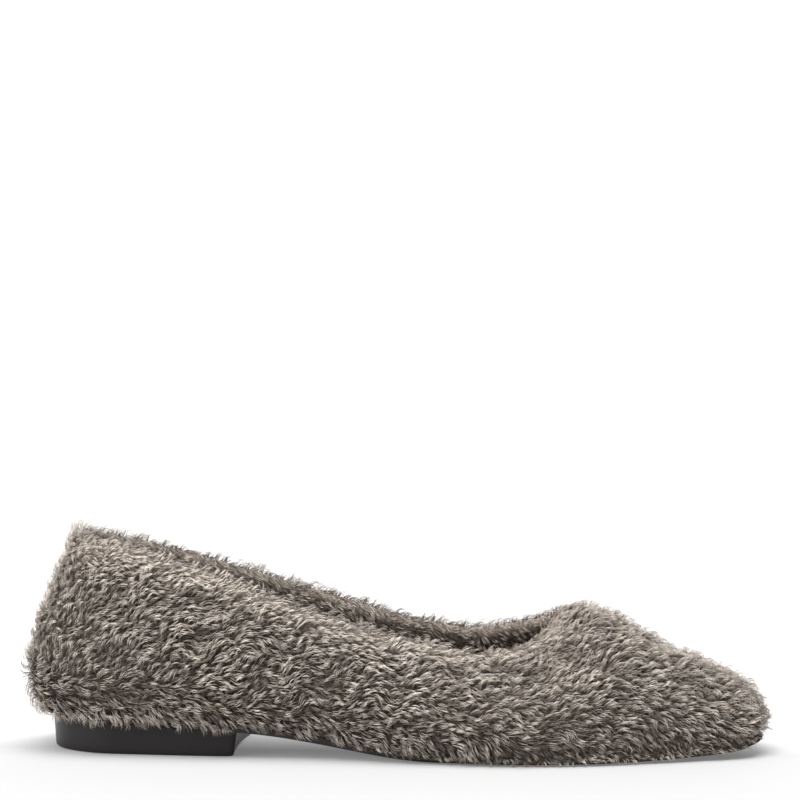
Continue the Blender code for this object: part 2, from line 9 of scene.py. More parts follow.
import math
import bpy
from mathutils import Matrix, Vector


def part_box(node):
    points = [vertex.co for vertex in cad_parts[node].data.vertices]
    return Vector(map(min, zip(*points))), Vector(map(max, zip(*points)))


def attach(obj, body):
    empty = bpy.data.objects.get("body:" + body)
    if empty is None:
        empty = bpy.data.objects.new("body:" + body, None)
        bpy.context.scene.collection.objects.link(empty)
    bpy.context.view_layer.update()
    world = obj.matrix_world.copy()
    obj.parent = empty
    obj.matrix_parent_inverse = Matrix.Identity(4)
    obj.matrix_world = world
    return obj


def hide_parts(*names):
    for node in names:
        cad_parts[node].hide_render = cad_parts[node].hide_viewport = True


bl_info = {
    "name": "Fur Ballet Flat",
    "version": (1, 0, 0),
    "blender": (4, 5, 0),
    "location": "3D View > Sidebar > Fur Flat",
    "description": "Builds a ballet flat in curly plush round its packed frame",
    "category": "Add Mesh",
}

from functools import partial

import bmesh
import bpy
import numpy as np
from bpy.props import FloatProperty, FloatVectorProperty, IntProperty, PointerProperty
from mathutils import Euler, Vector

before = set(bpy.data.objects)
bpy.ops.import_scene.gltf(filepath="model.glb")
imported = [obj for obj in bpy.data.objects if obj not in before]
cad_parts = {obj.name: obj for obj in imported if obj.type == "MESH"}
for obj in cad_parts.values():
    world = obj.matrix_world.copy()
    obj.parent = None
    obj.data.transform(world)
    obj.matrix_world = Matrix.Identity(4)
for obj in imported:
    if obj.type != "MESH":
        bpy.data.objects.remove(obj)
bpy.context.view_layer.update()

MM = 0.001
BODY = "root"
LATERAL = -1
MEDIAL = 1
UP = np.array([0.0, 0.0, 1.0])

# Plan of the outsole
SHOE_LENGTH = 250.0 * MM
HEEL_WIDTH = 54.0 * MM
WAIST_WIDTH = 50.0 * MM
BALL_WIDTH = 76.0 * MM
TOE_WIDTH = 31.0 * MM
TOE_CORNER = 11.0 * MM
TOE_CORNER_POWER = 2.4

# Side profile of the outsole, from the floor to its underside
SOLE_THICKNESS = 3.5 * MM
SOLE_EDGE_ROUND = 0.9 * MM
SEAT_BACK_HEIGHT = 13.0 * MM
SEAT_BREAST_HEIGHT = 8.7 * MM
BALL_START = 140.0 * MM
BALL_END = 196.0 * MM
TOE_SPRING = 2.4 * MM

# Heel block
HEEL_LENGTH = 69.0 * MM
HEEL_INSET = 1.0 * MM
HEEL_TAPER = 0.8 * MM
HEEL_EDGE_ROUND = 1.0 * MM
BREAST_LEAN = 1.2 * MM
BREAST_SCOOP = 1.5 * MM

# Insole
INSOLE_THICKNESS = 3.0 * MM
INSOLE_EDGE_ROUND = 0.8 * MM

# Skin of the upper: heights above the sole, the width of the opening and how far the sides bulge
BACK_RISE = 58.3 * MM
SIDE_RISE = 30.0 * MM
THROAT_RISE = 45.0 * MM
TOE_RISE = 15.8 * MM
OPENING_WIDTH = 58.0 * MM
SWELL = 10.0 * MM

# Cloth of the upper with the underfur on it: outside, from NEAR_RIM of the way up, over the rim and inside
WALL = 2.5 * MM
UNDERFUR = 1.6 * MM
UNDERFUR_NEAR_RIM = 1.05 * MM
UNDERFUR_OVER_RIM = 2.5 * MM
NEAR_RIM = (0.75, 0.95)
BAND_UNDERFUR = 1.0 * MM

# Size of the clouds in the insole's suede
SUEDE_CLOUD = 18.0 * MM

# Depth of the fur band inside, and how far up the side it stays over the insole, as a share of the rise
BAND_DEPTH = 14.0 * MM
BAND_OVER_INSOLE = 0.04

# Hem beside the sole: how far it hangs below the ledge and stands out at its foot, and its shares of both
HEM_DROP = 2.8 * MM
HEM_SPREAD = 1.3 * MM
HEM_LEVEL = ((0.26, 1.0), (0.34, 0.5), (0.5, 0.65), (0.6, 1.0), (0.9, 1.0), (1.0, 0.25))
HEM_OUTSET = ((0.1, 1.2), (0.2, 1.0))

# Room between the upper, the sole and the insole
SEAT_GAP = 0.3 * MM
SIDE_GAP = 0.8 * MM
INSOLE_GAP = 0.5 * MM
INSOLE_ROOM = 1.5 * MM

# Plan outline: share of the length, width, and how far the middle lies to the medial side in ball widths
OUTLINE = (
    # along, width, centre
    (0.00, HEEL_WIDTH * 0.90, 0.000),
    (0.10, HEEL_WIDTH * 0.96, -0.003),
    (0.23, HEEL_WIDTH * 1.02, -0.012),
    (0.42, WAIST_WIDTH * 1.00, -0.038),
    (0.56, BALL_WIDTH * 0.87, -0.025),
    (0.68, BALL_WIDTH * 1.00, 0.000),
    (0.77, BALL_WIDTH * 0.94, 0.015),
    (0.85, BALL_WIDTH * 0.78, 0.025),
    (0.92, TOE_WIDTH * 1.48, 0.028),
    (0.96, TOE_WIDTH * 1.23, 0.030),
    (1.00, TOE_WIDTH * 1.00, 0.030),
)

# The collar, from the back to the throat, by the share of the way round the sole's edge. back and throat
# are shares of what those rises have over the side's, and medial is what the medial side has more.
COLLAR = (
    # side, along, centre, opening, back, throat, medial, flare, tuck, roll
    (0.000, 0.043, 0.000, 0.00, 1.000, 0.00, 0.00, 1.20, 0.70, 0.00),
    (0.050, 0.050, 0.000, 0.30, 0.965, 0.00, 0.01, 1.12, 0.66, 0.00),
    (0.100, 0.072, 0.000, 0.56, 0.935, 0.00, 0.00, 0.95, 0.55, 0.00),
    (0.160, 0.117, 0.000, 0.75, 0.915, 0.00, -0.05, 0.75, 0.32, 0.00),
    (0.250, 0.204, 0.000, 0.87, 0.770, 0.00, -0.07, 0.60, 0.36, 0.00),
    (0.360, 0.320, -0.005, 0.95, 0.467, 0.00, 0.01, 0.55, 0.40, 0.00),
    (0.470, 0.440, -0.012, 1.00, 0.304, 0.00, 0.03, 0.55, 0.45, 0.00),
    (0.580, 0.548, -0.010, 1.00, 0.160, 0.00, 0.05, 0.60, 0.60, 0.02),
    (0.650, 0.615, -0.002, 0.94, 0.064, 0.00, 0.11, 0.65, 0.80, 0.12),
    (0.700, 0.665, 0.006, 0.78, 0.010, 0.15, 0.17, 0.60, 0.90, 0.32),
    (0.740, 0.702, 0.013, 0.54, 0.000, 0.38, 0.17, 0.50, 0.90, 0.58),
    (0.772, 0.724, 0.018, 0.27, 0.000, 0.68, 0.10, 0.42, 0.90, 0.86),
    (0.793, 0.732, 0.020, 0.00, 0.000, 1.00, 0.00, 0.40, 0.90, 1.00),
)

# The ridge of the vamp, from the throat to the toe
RIDGE = (
    # side, along, centre, lift, flare
    (0.793, 0.732, 0.020, 1.000, 0.40),
    (0.840, 0.784, 0.028, 0.880, 0.38),
    (0.880, 0.834, 0.032, 0.590, 0.36),
    (0.920, 0.884, 0.034, 0.355, 0.38),
    (0.960, 0.932, 0.034, 0.195, 0.45),
    (1.000, 0.970, 0.032, 0.000, 0.50),
)

# How the plush is combed at places round the side: degrees up from the way to the toe, at the hem, at mid
# height and at the collar, and the length of the pile as a share
COMB = (
    # side, hem, middle, top, pile
    (0.00, -22.0, 64.0, 66.0, 0.90),
    (0.05, -40.0, 56.0, 56.0, 0.91),
    (0.09, -62.0, 49.0, 49.0, 0.92),
    (0.20, -54.0, 34.0, 26.0, 1.00),
    (0.36, -36.0, 20.0, 12.0, 1.00),
    (0.50, -44.0, 4.0, 4.0, 1.00),
    (0.64, -62.0, 0.0, 2.0, 1.00),
    (0.74, -56.0, 20.0, 24.0, 0.90),
    (0.82, -48.0, 10.0, 20.0, 0.95),
    (0.87, -38.0, -2.0, 8.0, 0.90),
    (0.92, -28.0, -6.0, 4.0, 1.05),
    (0.96, -18.0, -8.0, 2.0, 1.00),
    (1.00, -4.0, -8.0, 0.0, 0.90),
)

# How far past the rim on both sides the comb turns to lie along it, its angle there, where its middle angle
# holds on the way up, and its angle in the band
RIM_REACH = 0.16
COMB_RIM = 8.0
COMB_MIDDLE = 0.28
COMB_INSIDE = 35.0

# Stops of place and value on the way over the pelt, from 0 at the hem and 1 at the rim or the ridge to 2 at
# the band's end. Size, loft, curl and share scale the fur's pile, loft, curl and density. Ruffle is how much
# the heights of the tufts differ, and the paleness of the strands is painted light: painted shade towards the
# hem and inside the band, and a painted highlight at the rim.
ALONG = {
    "size": ((0, 1.25), (0.1, 1.0), (0.85, 1.0), (1.0, 0.82), (1.3, 0.74), (2, 0.62)),
    "loft": ((0, 0.65), (0.1, 1.0), (0.85, 1.0), (1.0, 0.78), (1.5, 0.7), (2, 0.6)),
    "ruffle": ((1.0, 1.0), (1.1, 1.2), (1.6, 1.2), (1.8, 1.0)),
    "curl": ((0, 0.9), (0.2, 1.0), (0.85, 0.95), (1.0, 0.7), (1.4, 0.5), (2, 0.5)),
    "share": ((1.5, 1.0), (1.8, 0.7)),
    # How pale the strands are: painted shade low at the hem and inside the band, a painted highlight at the
    # rim
    "tone": ((0, 0.13), (0.3, 0.25), (0.8, 0.46), (1.0, 0.78), (1.06, 0.45), (1.2, 0.18), (2, 0.12)),
}

# How much longer or shorter the pile is along the ridge of the vamp, at places round the side
RIDGE_PILE = (
    *((0.78, 0), (0.8, 0.4), (0.82, -0.15), (0.84, -0.5), (0.87, -0.58), (0.88, -0.3)),
    *((0.9, 0.5), (0.915, 0.4), (0.95, 0.1), (0.98, -0.38), (1.0, -0.35)),
)

# Places where the fur differs. Their strength is a product of stops on the way over the pelt and round the
# side. Size and loft change by these shares of themselves, and ruffle and tone by these amounts.
PLACES = (
    # Pressed short by the floor under the ball and the toe
    (((0, 1), (0.12, 0)), ((0.45, 0), (0.55, 1), (0.9, 1), (1.0, 1.6)), {"size": -0.4}),
    # Short along the hem of the arch
    (((0, 1), (0.12, 0)), ((0.26, 0), (0.34, 1), (0.5, 1), (0.58, 0)), {"size": -0.3}),
    # Long and pale in the hollow low on the back
    (((0, 0.6), (0.1, 1), (0.16, 1), (0.35, 0)), ((0.06, 1), (0.14, 0)), {"size": 0.65, "tone": 0.12}),
    # Even up the back, and long at its top corner
    (((0, 1),), ((0, 1), (0.1, 0)), {"ruffle": -0.3}),
    (((0.85, 0), (1.0, 1), (1.15, 0)), ((0, 1), (0.1, 0)), {"size": 1.2}),
    # Flatter along the rim, and pale just inside it at the back, a painted highlight on the lit inside of the
    # far rim
    (
        ((1 - RIM_REACH, 0), (1, 1), (1 + RIM_REACH, 0)),
        ((0.02, 0), (0.1, 1), (0.76, 1), (0.82, 0)),
        {"loft": -0.3, "ruffle": -0.15},
    ),
    (((0.9, 0), (1.1, 1), (1.5, 0)), ((0.15, 1), (0.32, 0)), {"tone": 0.25}),
    # Pale on the vamp, a painted highlight where the light from above falls, even along its ridge, and long
    # and short there in turn
    (((0, 1),), ((0.7, 0), (0.8, 1)), {"tone": 0.15}),
    (((0.7, 0), (0.95, 1)), ((0.76, 0), (0.82, 1)), {"ruffle": -0.6}),
    (((0.6, 0), (0.9, 1)), RIDGE_PILE, {"size": 1.0}),
)

# Handles of the curve that each column of the skin follows, as shares of its rise or of its way in plan
FOOT_LIFT = 0.24
FOOT_LIFT_ROLLED = 0.36
FOOT_REACH = 0.5
TOP_DROP = 0.33
TOP_REACH_ROLLED = 0.5

# Columns of the skin from the back of the heel to the toe on one side and how many end at the collar, rows of
# the skin and of the shell's outside, and steps of the sole's edge
COLUMNS = 116
OPEN_COLUMNS = 92
SKIN_ROWS = 60
SHELL_ROWS = 44
EDGE_STEPS = 2400

# Soft round on the sole's upper edge, crown of the insole, and round corners of the heel's breast
SOLE_TOP_ROUND = 0.35 * MM
INSOLE_CROWN = 0.5 * MM
BREAST_CORNER = 2.0 * MM

# Counts of the smooth pieces: the sole's columns, the steps of rounds, closings and the insole's crown, and
# the steps and rows of the heel
SOLE_COLUMNS = 120
ROUND_STEPS = 4
TOP_ROUND_STEPS = 2
CLOSING_STEPS = 5
CROWN_STEPS = 8
HEEL_STEPS = 90
HEEL_ROWS = 8
BREAST_STEPS = 11

# Edges of the smooth pieces sharper than this look sharp, and points closer than this are merged
SHARP_ANGLE = math.radians(50)
WELD_DISTANCE = 0.02 * MM

# Rows of the shell over the rim, down the band and down the lining, and where the band fades past the throat
RIM_ROWS = 7
BAND_ROWS = 10
LINING_ROWS = 14
BAND_FADE_COLUMNS = 4

# Shades of the underfur, which is paler at the rim as a painted highlight on its lit edge: up the outside,
# and down the band by its rows
UNDERFUR_SHADES = ((0.35, "#29241F"), (0.65, "#5A5048"), (1.0, "#8E8479"))
RIM_HIGHLIGHT_UP = ((0.85, 0.0), (1.0, 1.0))
RIM_HIGHLIGHT_DOWN = ((0, 0.8), (4, 0.0))
RIM_HIGHLIGHT_SHARE = 0.4

# Height of the roots over the skin, their depth under the rim's top, and the ledge's place over the pelt
ROOT_DEPTH = 0.8 * MM
ROOTS_UNDER_RIM = 0.1 * MM
LEDGE_PLACE = 0.02

# A strand: sides and parts of its blade, how it narrows and for which last share this stops, how flat it is,
# its height and its way to the tuft from root to tip, and its least height over the floor. Real plush hairs
# are 0.02 to 0.05 mm thick, and each strand is drawn for a small bundle of them.
BLADE_SIDES = 3
BLADE_PARTS = 3
BLADE_TAPER = 0.55
BLADE_TIP = 0.02
BLADE_FLATNESS = 0.7
BLADE_RISE = ((0.0, 0.0), (0.33, 0.85), (0.67, 1.0), (1.0, 0.75))
BLADE_GATHER = ((0.0, 0.0), (0.33, 0.4), (1.0, 0.62))
STRAND_FLOOR = 0.3 * MM
STRAND_MAP = "OFBake"

# Colours of a dull and of a pale strand at the root, and where on its way up the colour of the tip is reached
ROOT_SHADE = "#37302B"
ROOT_FROST = "#6C635A"
TIP_FROM = 0.8

# Tufts: their least distance as a share of the mean one, how far a strand follows its tuft's chance, and
# the least and the greatest length of a strand as shares of the pile
TUFT_GAP = 0.6
TUFT_SHARE = 0.8
LENGTHS = (0.82, 1.13)

# Seeds of the chances of a tuft, of a strand and of its length
TUFT_SEED = 3
STRAND_SEED = 5
LENGTH_SEED = 9

# Swirls of the nap: their size, how far the noise is spread, and what they add to turn, curl, lift and tint.
# The tint is painted light: a painted highlight on raised swirls and painted shade in sunk ones.
SWIRL_SIZE = 7.5 * MM
SWIRL_SPREAD = 5.0
SWIRL_TURN = 0.8
SWIRL_CURL = 0.6
SWIRL_LIFT = 0.36
SWIRL_PAINTED_LIGHT = 0.38

# Curl: its least share, how much curls turn downhill, and the share of the tuft's chance in it
LEAST_CURL = 0.3
DROOP_SHARE = 0.5
CURL_SHARE = 0.5

# Lift, as a share of the loft: the undercoat's, the mean that ruffle works from, the least, and one strand's
UNDERCOAT_LIFT = 0.5
MEAN_LIFT = 0.78
LEAST_LIFT = 0.34
STRAND_LIFT = 0.08

# Chances between which a tuft turns from undercoat to topcoat, the painted highlight that topcoat adds to
# the tint, and what tuft and strand add to it at random
TOPCOAT = (0.1, 0.4)
TOPCOAT_HIGHLIGHT = 0.27
TUFT_TINT = 0.14
STRAND_TINT = 0.12

# Kinds of node that come up often
MATH = "ShaderNodeMath"
VECTOR_MATH = "ShaderNodeVectorMath"
RAMP = "ShaderNodeValToRGB"

# Inputs of the plush tree, which are the fur's settings of the same names
FUR_INPUTS = ("Density", "Spacing", "Pile", "Loft", "Thickness", "Tuft", "Curl", "Scatter", "Seed")

# Patches of plush, each between two places on the way over the pelt and two round the side
PATCHES = (
    # name, over the pelt, round the side, sides of the shoe
    ("plush_heel", (0, 1), (0.0, 0.19), (LATERAL, MEDIAL)),
    ("plush_outer_quarter", (0, 1), (0.19, 0.61), (LATERAL,)),
    ("plush_inner_quarter", (0, 1), (0.19, 0.61), (MEDIAL,)),
    ("plush_outer_vamp", (0, 1), (0.61, 1.0), (LATERAL,)),
    ("plush_inner_vamp", (0, 1), (0.61, 1.0), (MEDIAL,)),
    ("plush_collar", (1, 2), (0.0, 1.0), (LATERAL, MEDIAL)),
)

# Stage: profile of the paper sweep with its glow, which is painted light that lightens the shoe's shadows on
# the floor, more behind the shoe, and evens the sweep out to white at the back; and the lamps
SWEEP_HALF_WIDTH = 4.0
SWEEP = (
    # along, up, glow
    (-3.0, 0.0, 0.17),
    (-0.01, 0.0, 0.17),
    (0.02, 0.0, 0.38),
    (0.6, 0.0, 0.4),
    (1.2, 0.0, 0.5),
    (1.6, 0.0, 0.65),
    (1.9, 0.06, 0.8),
    (2.1, 0.2, 0.8),
    (2.2, 0.45, 0.8),
    (2.25, 3.0, 0.8),
)
WORLD_LIGHT = 0.72
LAMPS = (
    # name, place, size, power
    ("key_light", (-0.5, -0.8, 1.6), 0.8, 26.0),
    ("top_light", (0.1, -0.08, 1.7), 1.2, 40.0),
    ("front_light", (-1.6, -1.0, 0.7), 1.0, 26.0),
    ("low_back_light", (0.1, 1.2, 0.35), 0.9, 4.0),
)
LAMP_AIM = (0.0, 0.0, 0.03)


def linear(hex_colour):
    """A colour given as sRGB hex digits, as linear RGB with alpha 1."""
    parts = [int(hex_colour[k : k + 2], 16) / 255 for k in (1, 3, 5)]
    return (*[p / 12.92 if p <= 0.04045 else ((p + 0.055) / 1.055) ** 2.4 for p in parts], 1.0)


def curve(rows, column, at):
    """Smooth curve through a column of a table, whose first column is the place, read at the given places."""
    places = np.array([row[0] for row in rows], float)
    values = np.array([row[column] for row in rows], float)
    slopes = np.gradient(values, places)
    at = np.clip(np.asarray(at, float), places[0], places[-1])
    low = np.clip(np.searchsorted(places, at, side="right") - 1, 0, len(places) - 2)
    span = places[low + 1] - places[low]
    t = (at - places[low]) / span
    rise = values[low + 1] - values[low]
    bend = (1 - t) * (slopes[low] * span - rise) + t * (rise - slopes[low + 1] * span)
    return values[low] + t * rise + t * (1 - t) * bend


def straight(stops, at):
    """Straight lines through stops of place and value, read at the given places."""
    return np.interp(at, *zip(*stops))


def unit(vectors):
    """The same vectors at length 1."""
    return vectors / np.maximum(np.linalg.norm(vectors, axis=-1, keepdims=True), 1e-12)


def half_width(x, side):
    """Distance from the shoe's long axis to the outsole's edge, with the round heel and the snipped toe."""
    along = x / SHOE_LENGTH
    width = curve(OUTLINE, 1, along) / 2
    heel_round = HEEL_WIDTH / 2
    back = np.clip((heel_round - x) / heel_round, 0, 1)
    front = np.clip((x - SHOE_LENGTH + TOE_CORNER) / TOE_CORNER, 0, 1)
    width = width * np.sqrt(1 - back**2)
    width = width * (1 - front**TOE_CORNER_POWER) ** (1 / TOE_CORNER_POWER)
    return curve(OUTLINE, 2, along) * BALL_WIDTH * side + width


def even_points(points, count):
    """The same way in plan with this many points at even steps."""
    travel = np.concatenate([[0], np.cumsum(np.linalg.norm(np.diff(points, axis=0), axis=1))])
    at = np.linspace(0, travel[-1], count)
    return np.stack([np.interp(at, travel, points[:, k]) for k in (0, 1)], axis=1)


def edge_of_side(side, columns):
    """Even points along one side of the outsole's edge, from the back of the heel to the toe's tip."""
    x = SHOE_LENGTH * (1 - np.cos(np.pi * np.linspace(0, 1, EDGE_STEPS))) / 2
    points = np.stack([x, side * half_width(x, side)], axis=1)
    return even_points(points, columns + 1)


def sole_edge(columns):
    """The outsole's edge and its normals: back of the heel, lateral side, toe's tip, medial side."""
    lateral = edge_of_side(LATERAL, columns)
    medial = edge_of_side(MEDIAL, columns)
    ring = np.concatenate([lateral, medial[-2:0:-1]])
    ahead = np.roll(ring, -1, axis=0) - np.roll(ring, 1, axis=0)
    outward = unit(np.stack([ahead[:, 1], -ahead[:, 0]], axis=1))
    return ring, outward


def sole_bottom(x):
    """Height of the outsole's underside: sloping heel seat, arch, flat ball, toe spring."""
    x = np.clip(x, 0, SHOE_LENGTH)
    slope = (SEAT_BREAST_HEIGHT - SEAT_BACK_HEIGHT) / HEEL_LENGTH
    seat = SEAT_BACK_HEIGHT + slope * x
    span = BALL_START - HEEL_LENGTH
    t = np.clip((x - HEEL_LENGTH) / span, 0, 1)
    arch = SEAT_BREAST_HEIGHT * (2 * t**3 - 3 * t**2 + 1) + slope * span * (t**3 - 2 * t**2 + t)
    toe = TOE_SPRING * np.clip((x - BALL_END) / (SHOE_LENGTH - BALL_END), 0, 1) ** 2
    return np.where(x <= HEEL_LENGTH, seat, arch) + toe


def sole_top(x):
    """Height of the outsole's upper face."""
    return sole_bottom(x) + SOLE_THICKNESS


# For each column round the sole: steps from the back, side of the shoe, whether it ends at the collar, and
# share of the way to the toe
STEPS_ROUND = np.minimum(np.arange(2 * COLUMNS), 2 * COLUMNS - np.arange(2 * COLUMNS))
SIDE_SIGNS = np.where(np.arange(2 * COLUMNS) <= COLUMNS, LATERAL, MEDIAL)
AT_COLLAR = STEPS_ROUND <= OPEN_COLUMNS
SIDE_SHARE = STEPS_ROUND / COLUMNS


def top_line():
    """For each column, its top point on the collar or the ridge, with its rise, swells and roll there."""
    throat = COLLAR[-1][0]
    at = np.clip(STEPS_ROUND / OPEN_COLUMNS, 0, 1) * throat
    along, centre, opening, back, to_throat, medial, flare, tuck, roll = [
        curve(COLLAR, column, at) for column in range(1, len(COLLAR[0]))
    ]
    past = np.clip((STEPS_ROUND - OPEN_COLUMNS) / (COLUMNS - OPEN_COLUMNS), 0, 1)
    at = throat + past * (1 - throat)
    ridge_along, ridge_centre, lift, ridge_flare = [
        curve(RIDGE, column, at) for column in range(1, len(RIDGE[0]))
    ]
    rise = SIDE_RISE + back * (BACK_RISE - SIDE_RISE)
    rise = rise + to_throat * (THROAT_RISE - SIDE_RISE)
    rise = rise + medial * SIDE_RISE * (SIDE_SIGNS == MEDIAL)
    rise = np.where(AT_COLLAR, rise, TOE_RISE + lift * (THROAT_RISE - TOE_RISE))
    opening = np.where(AT_COLLAR, np.maximum(opening, 0), 0)
    flare = np.where(AT_COLLAR, flare, ridge_flare) * SWELL
    tuck = np.where(AT_COLLAR, tuck, COLLAR[-1][8]) * SWELL
    roll = np.where(AT_COLLAR, np.clip(roll, 0, 1), 1.0)
    x = np.where(AT_COLLAR, along, ridge_along) * SHOE_LENGTH
    y = np.where(AT_COLLAR, centre, ridge_centre) * BALL_WIDTH + SIDE_SIGNS * opening * OPENING_WIDTH / 2
    return np.stack([x, y, sole_top(x) + rise], axis=1), rise, flare, tuck, roll


def skin_normals(points):
    """Normals of the skin's points, shared where the two sides meet along the ridge."""
    following = np.roll(points, -1, axis=0)
    face = np.cross(following[:, 1:] - points[:, :-1], points[:, 1:] - following[:, :-1])
    normals = np.zeros_like(points)
    for shift in (0, 1):
        faces = np.roll(face, shift, axis=0)
        normals[:, :-1] += faces
        normals[:, 1:] += faces
    lateral = np.arange(OPEN_COLUMNS, COLUMNS)
    medial = 2 * COLUMNS - lateral
    shared = normals[lateral, -1] + normals[medial, -1]
    normals[lateral, -1] = shared
    normals[medial, -1] = shared
    return unit(normals)


class Skin:
    """The skin of the upper: points[column, row] from the sole up, with what is read from them."""

    def __init__(self):
        edge, outward = sole_edge(COLUMNS)
        top, rise, flare, tuck, roll = top_line()
        foot = np.column_stack([edge, sole_top(edge[:, 0]) + SEAT_GAP])
        out = np.column_stack([outward, np.zeros(2 * COLUMNS)])
        overhang = np.maximum(((top - foot) * out).sum(axis=1), 0)
        lift = (FOOT_LIFT + FOOT_LIFT_ROLLED * roll) * rise
        low_handle = foot + out * (flare + FOOT_REACH * overhang)[:, None] + UP * lift[:, None]
        upright = out * tuck[:, None] - UP * (TOP_DROP * rise)[:, None]
        flat = (foot - top) * (1 - UP) * TOP_REACH_ROLLED
        high_handle = top + (1 - roll)[:, None] * upright + roll[:, None] * flat
        v = np.linspace(0, 1, SKIN_ROWS + 1)[None, :, None]
        self.points = (
            (1 - v) ** 3 * foot[:, None]
            + 3 * (1 - v) ** 2 * v * low_handle[:, None]
            + 3 * (1 - v) * v**2 * high_handle[:, None]
            + v**3 * top[:, None]
        )
        self.normals = skin_normals(self.points)
        self.foot = foot
        self.out = out
        self.rise = rise
        self.away = self.collar_outward()

    def collar_outward(self):
        """At the top of each open column, the way out of the skin past its edge."""
        tops = self.points[:, -1]
        before = np.roll(tops, 1, axis=0)
        after = np.roll(tops, -1, axis=0)
        after[OPEN_COLUMNS] = tops[2 * COLUMNS - OPEN_COLUMNS + 1]
        before[2 * COLUMNS - OPEN_COLUMNS] = tops[OPEN_COLUMNS - 1]
        return unit(np.cross(self.normals[:, -1], after - before))

    def read(self, shares, offset):
        """Points at these shares of the way up each column, moved out along the normal by the offset."""
        shares = np.broadcast_to(shares, (2 * COLUMNS, np.shape(shares)[-1]))
        place = np.clip(shares, 0, 1) * SKIN_ROWS
        low = np.clip(place.astype(int), 0, SKIN_ROWS - 1)
        t = (place - low)[..., None]
        columns = np.arange(2 * COLUMNS)[:, None]
        points = self.points[columns, low] * (1 - t) + self.points[columns, low + 1] * t
        normals = self.normals[columns, low] * (1 - t) + self.normals[columns, low + 1] * t
        return points + unit(normals) * np.broadcast_to(offset, shares.shape)[..., None]

    def rim(self, outer, inner, tall, count):
        """Points over the collar's edge, on half an oval from the outer face to the inner one."""
        angles = np.linspace(0, np.pi, count + 2)[1:-1]
        middle = (outer - inner) / 2
        across = (outer + inner) / 2
        normal = self.normals[:, -1][:, None]
        sideways = (middle + across * np.cos(angles))[None, :, None]
        return self.points[:, -1][:, None] + normal * sideways + self.away[:, None] * (
            tall * np.sin(angles)[None, :, None]
        )


SKIN = Skin()
SHIFT = np.array(
    [
        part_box("outsole")[0][0] - SKIN.foot[:, 0].min(),
        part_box("outsole")[0][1] - SKIN.foot[:, 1].min(),
        0.0,
    ]
)


def put(name, data):
    """A new object of the scene with this data."""
    made = bpy.data.objects.new(name, data)
    bpy.context.scene.collection.objects.link(made)
    return made


def mesh_object(name, points, faces, *finishes):
    """A mesh in the frame's coordinates as an object of the scene, with its finishes."""
    data = bpy.data.meshes.new(name)
    data.from_pydata((np.asarray(points) + SHIFT).tolist(), [], [list(map(int, face)) for face in faces])
    for finish in finishes:
        data.materials.append(finish)
    data.shade_smooth()
    return put(name, data)


def seat(piece, slot, *nodes):
    """The piece rides on the shoe's body and stands for these solids, which are hidden. The slot is not used.
    """
    if nodes:
        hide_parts(*nodes)
    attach(piece, BODY)


def store(piece, name, values):
    """Stores a number or a vector for each point of the piece, for its finish or its nodes to read."""
    kind, key = ("FLOAT_VECTOR", "vector") if np.ndim(values) == 3 else ("FLOAT", "value")
    made = piece.data.attributes.new(name, kind, "POINT")
    made.data.foreach_set(key, np.ascontiguousarray(values, np.float32).ravel())


def wire(tree, made, inputs):
    """Gives a node's inputs, by name or number, values or links, to a socket or a node's first output."""
    for key, value in inputs.items():
        if isinstance(value, bpy.types.Node):
            value = value.outputs[0]
        if isinstance(value, bpy.types.NodeSocket):
            tree.links.new(value, made.inputs[key])
        else:
            made.inputs[key].default_value = value


def node(tree, kind, *values, inputs=None, **settings):
    """Adds a node with its settings. Values go to its first inputs in order, and inputs by name or number."""
    made = tree.nodes.new(kind)
    for name, value in settings.items():
        setattr(made, name, value)
    wire(tree, made, {**dict(enumerate(values)), **(inputs or {})})
    return made


def fill(ramp, *stops):
    """Gives a colour ramp these stops of place and colour, and returns it."""
    elements = ramp.color_ramp.elements
    for _ in stops[2:]:
        elements.new(0.5)
    for element, (place, colour) in zip(elements, stops):
        element.position = place
        element.color = (*colour[:3], 1.0)
    return ramp


def new_finish(name):
    """A new material with its tree and its Principled shader."""
    finish = bpy.data.materials.new(name)
    finish.use_nodes = True
    return finish, finish.node_tree, finish.node_tree.nodes["Principled BSDF"]


def number(name, description, default, **kind):
    """A number among the settings."""
    return FloatProperty(name=name, description=description, default=default, **kind)


length = partial(number, unit="LENGTH")
angle = partial(number, subtype="ANGLE")


def tint(name, description, hex_colour):
    """A colour among the settings."""
    colour = linear(hex_colour)[:3]
    return FloatVectorProperty(name=name, description=description, default=colour, subtype="COLOR")


class FlatFur(bpy.types.PropertyGroup):
    """Sizes and colours of the plush."""

    pile: length("Pile", "Length of a strand", 4.5 * MM)
    loft: length("Loft", "Height of the pile over its roots", 4.4 * MM)
    thickness: length("Thickness", "Width of a strand at its root", 0.36 * MM)
    spacing: length("Spacing", "Least distance between two roots", 0.36 * MM)
    density: number("Density", "Roots on a square millimetre before the spacing thins them", 2.1)
    tuft: length("Tuft", "Distance between the middles of two tufts", 1.5 * MM)
    curl: angle("Curl", "Most that a strand turns from root to tip", 2.1)
    scatter: angle("Scatter", "Most that a tuft turns away from the comb", 0.5)
    seed: IntProperty(name="Seed", description="Changes where the strands stand", default=11)
    shade: tint("Shade", "Tip of a dull strand", "#80766D")
    frost: tint("Frost", "Tip of a pale strand", "#D6CCC1")


class FlatSole(bpy.types.PropertyGroup):
    """Colours of the sole and the inside."""

    heel: tint("Heel", "Moulded heel block", "#1F1B1C")
    outsole: tint("Outsole", "Rubber outsole", "#262423")
    insole: tint("Insole", "Suede sock", "#6A5F56")
    lining: tint("Lining", "Knit lining", "#7D736B")


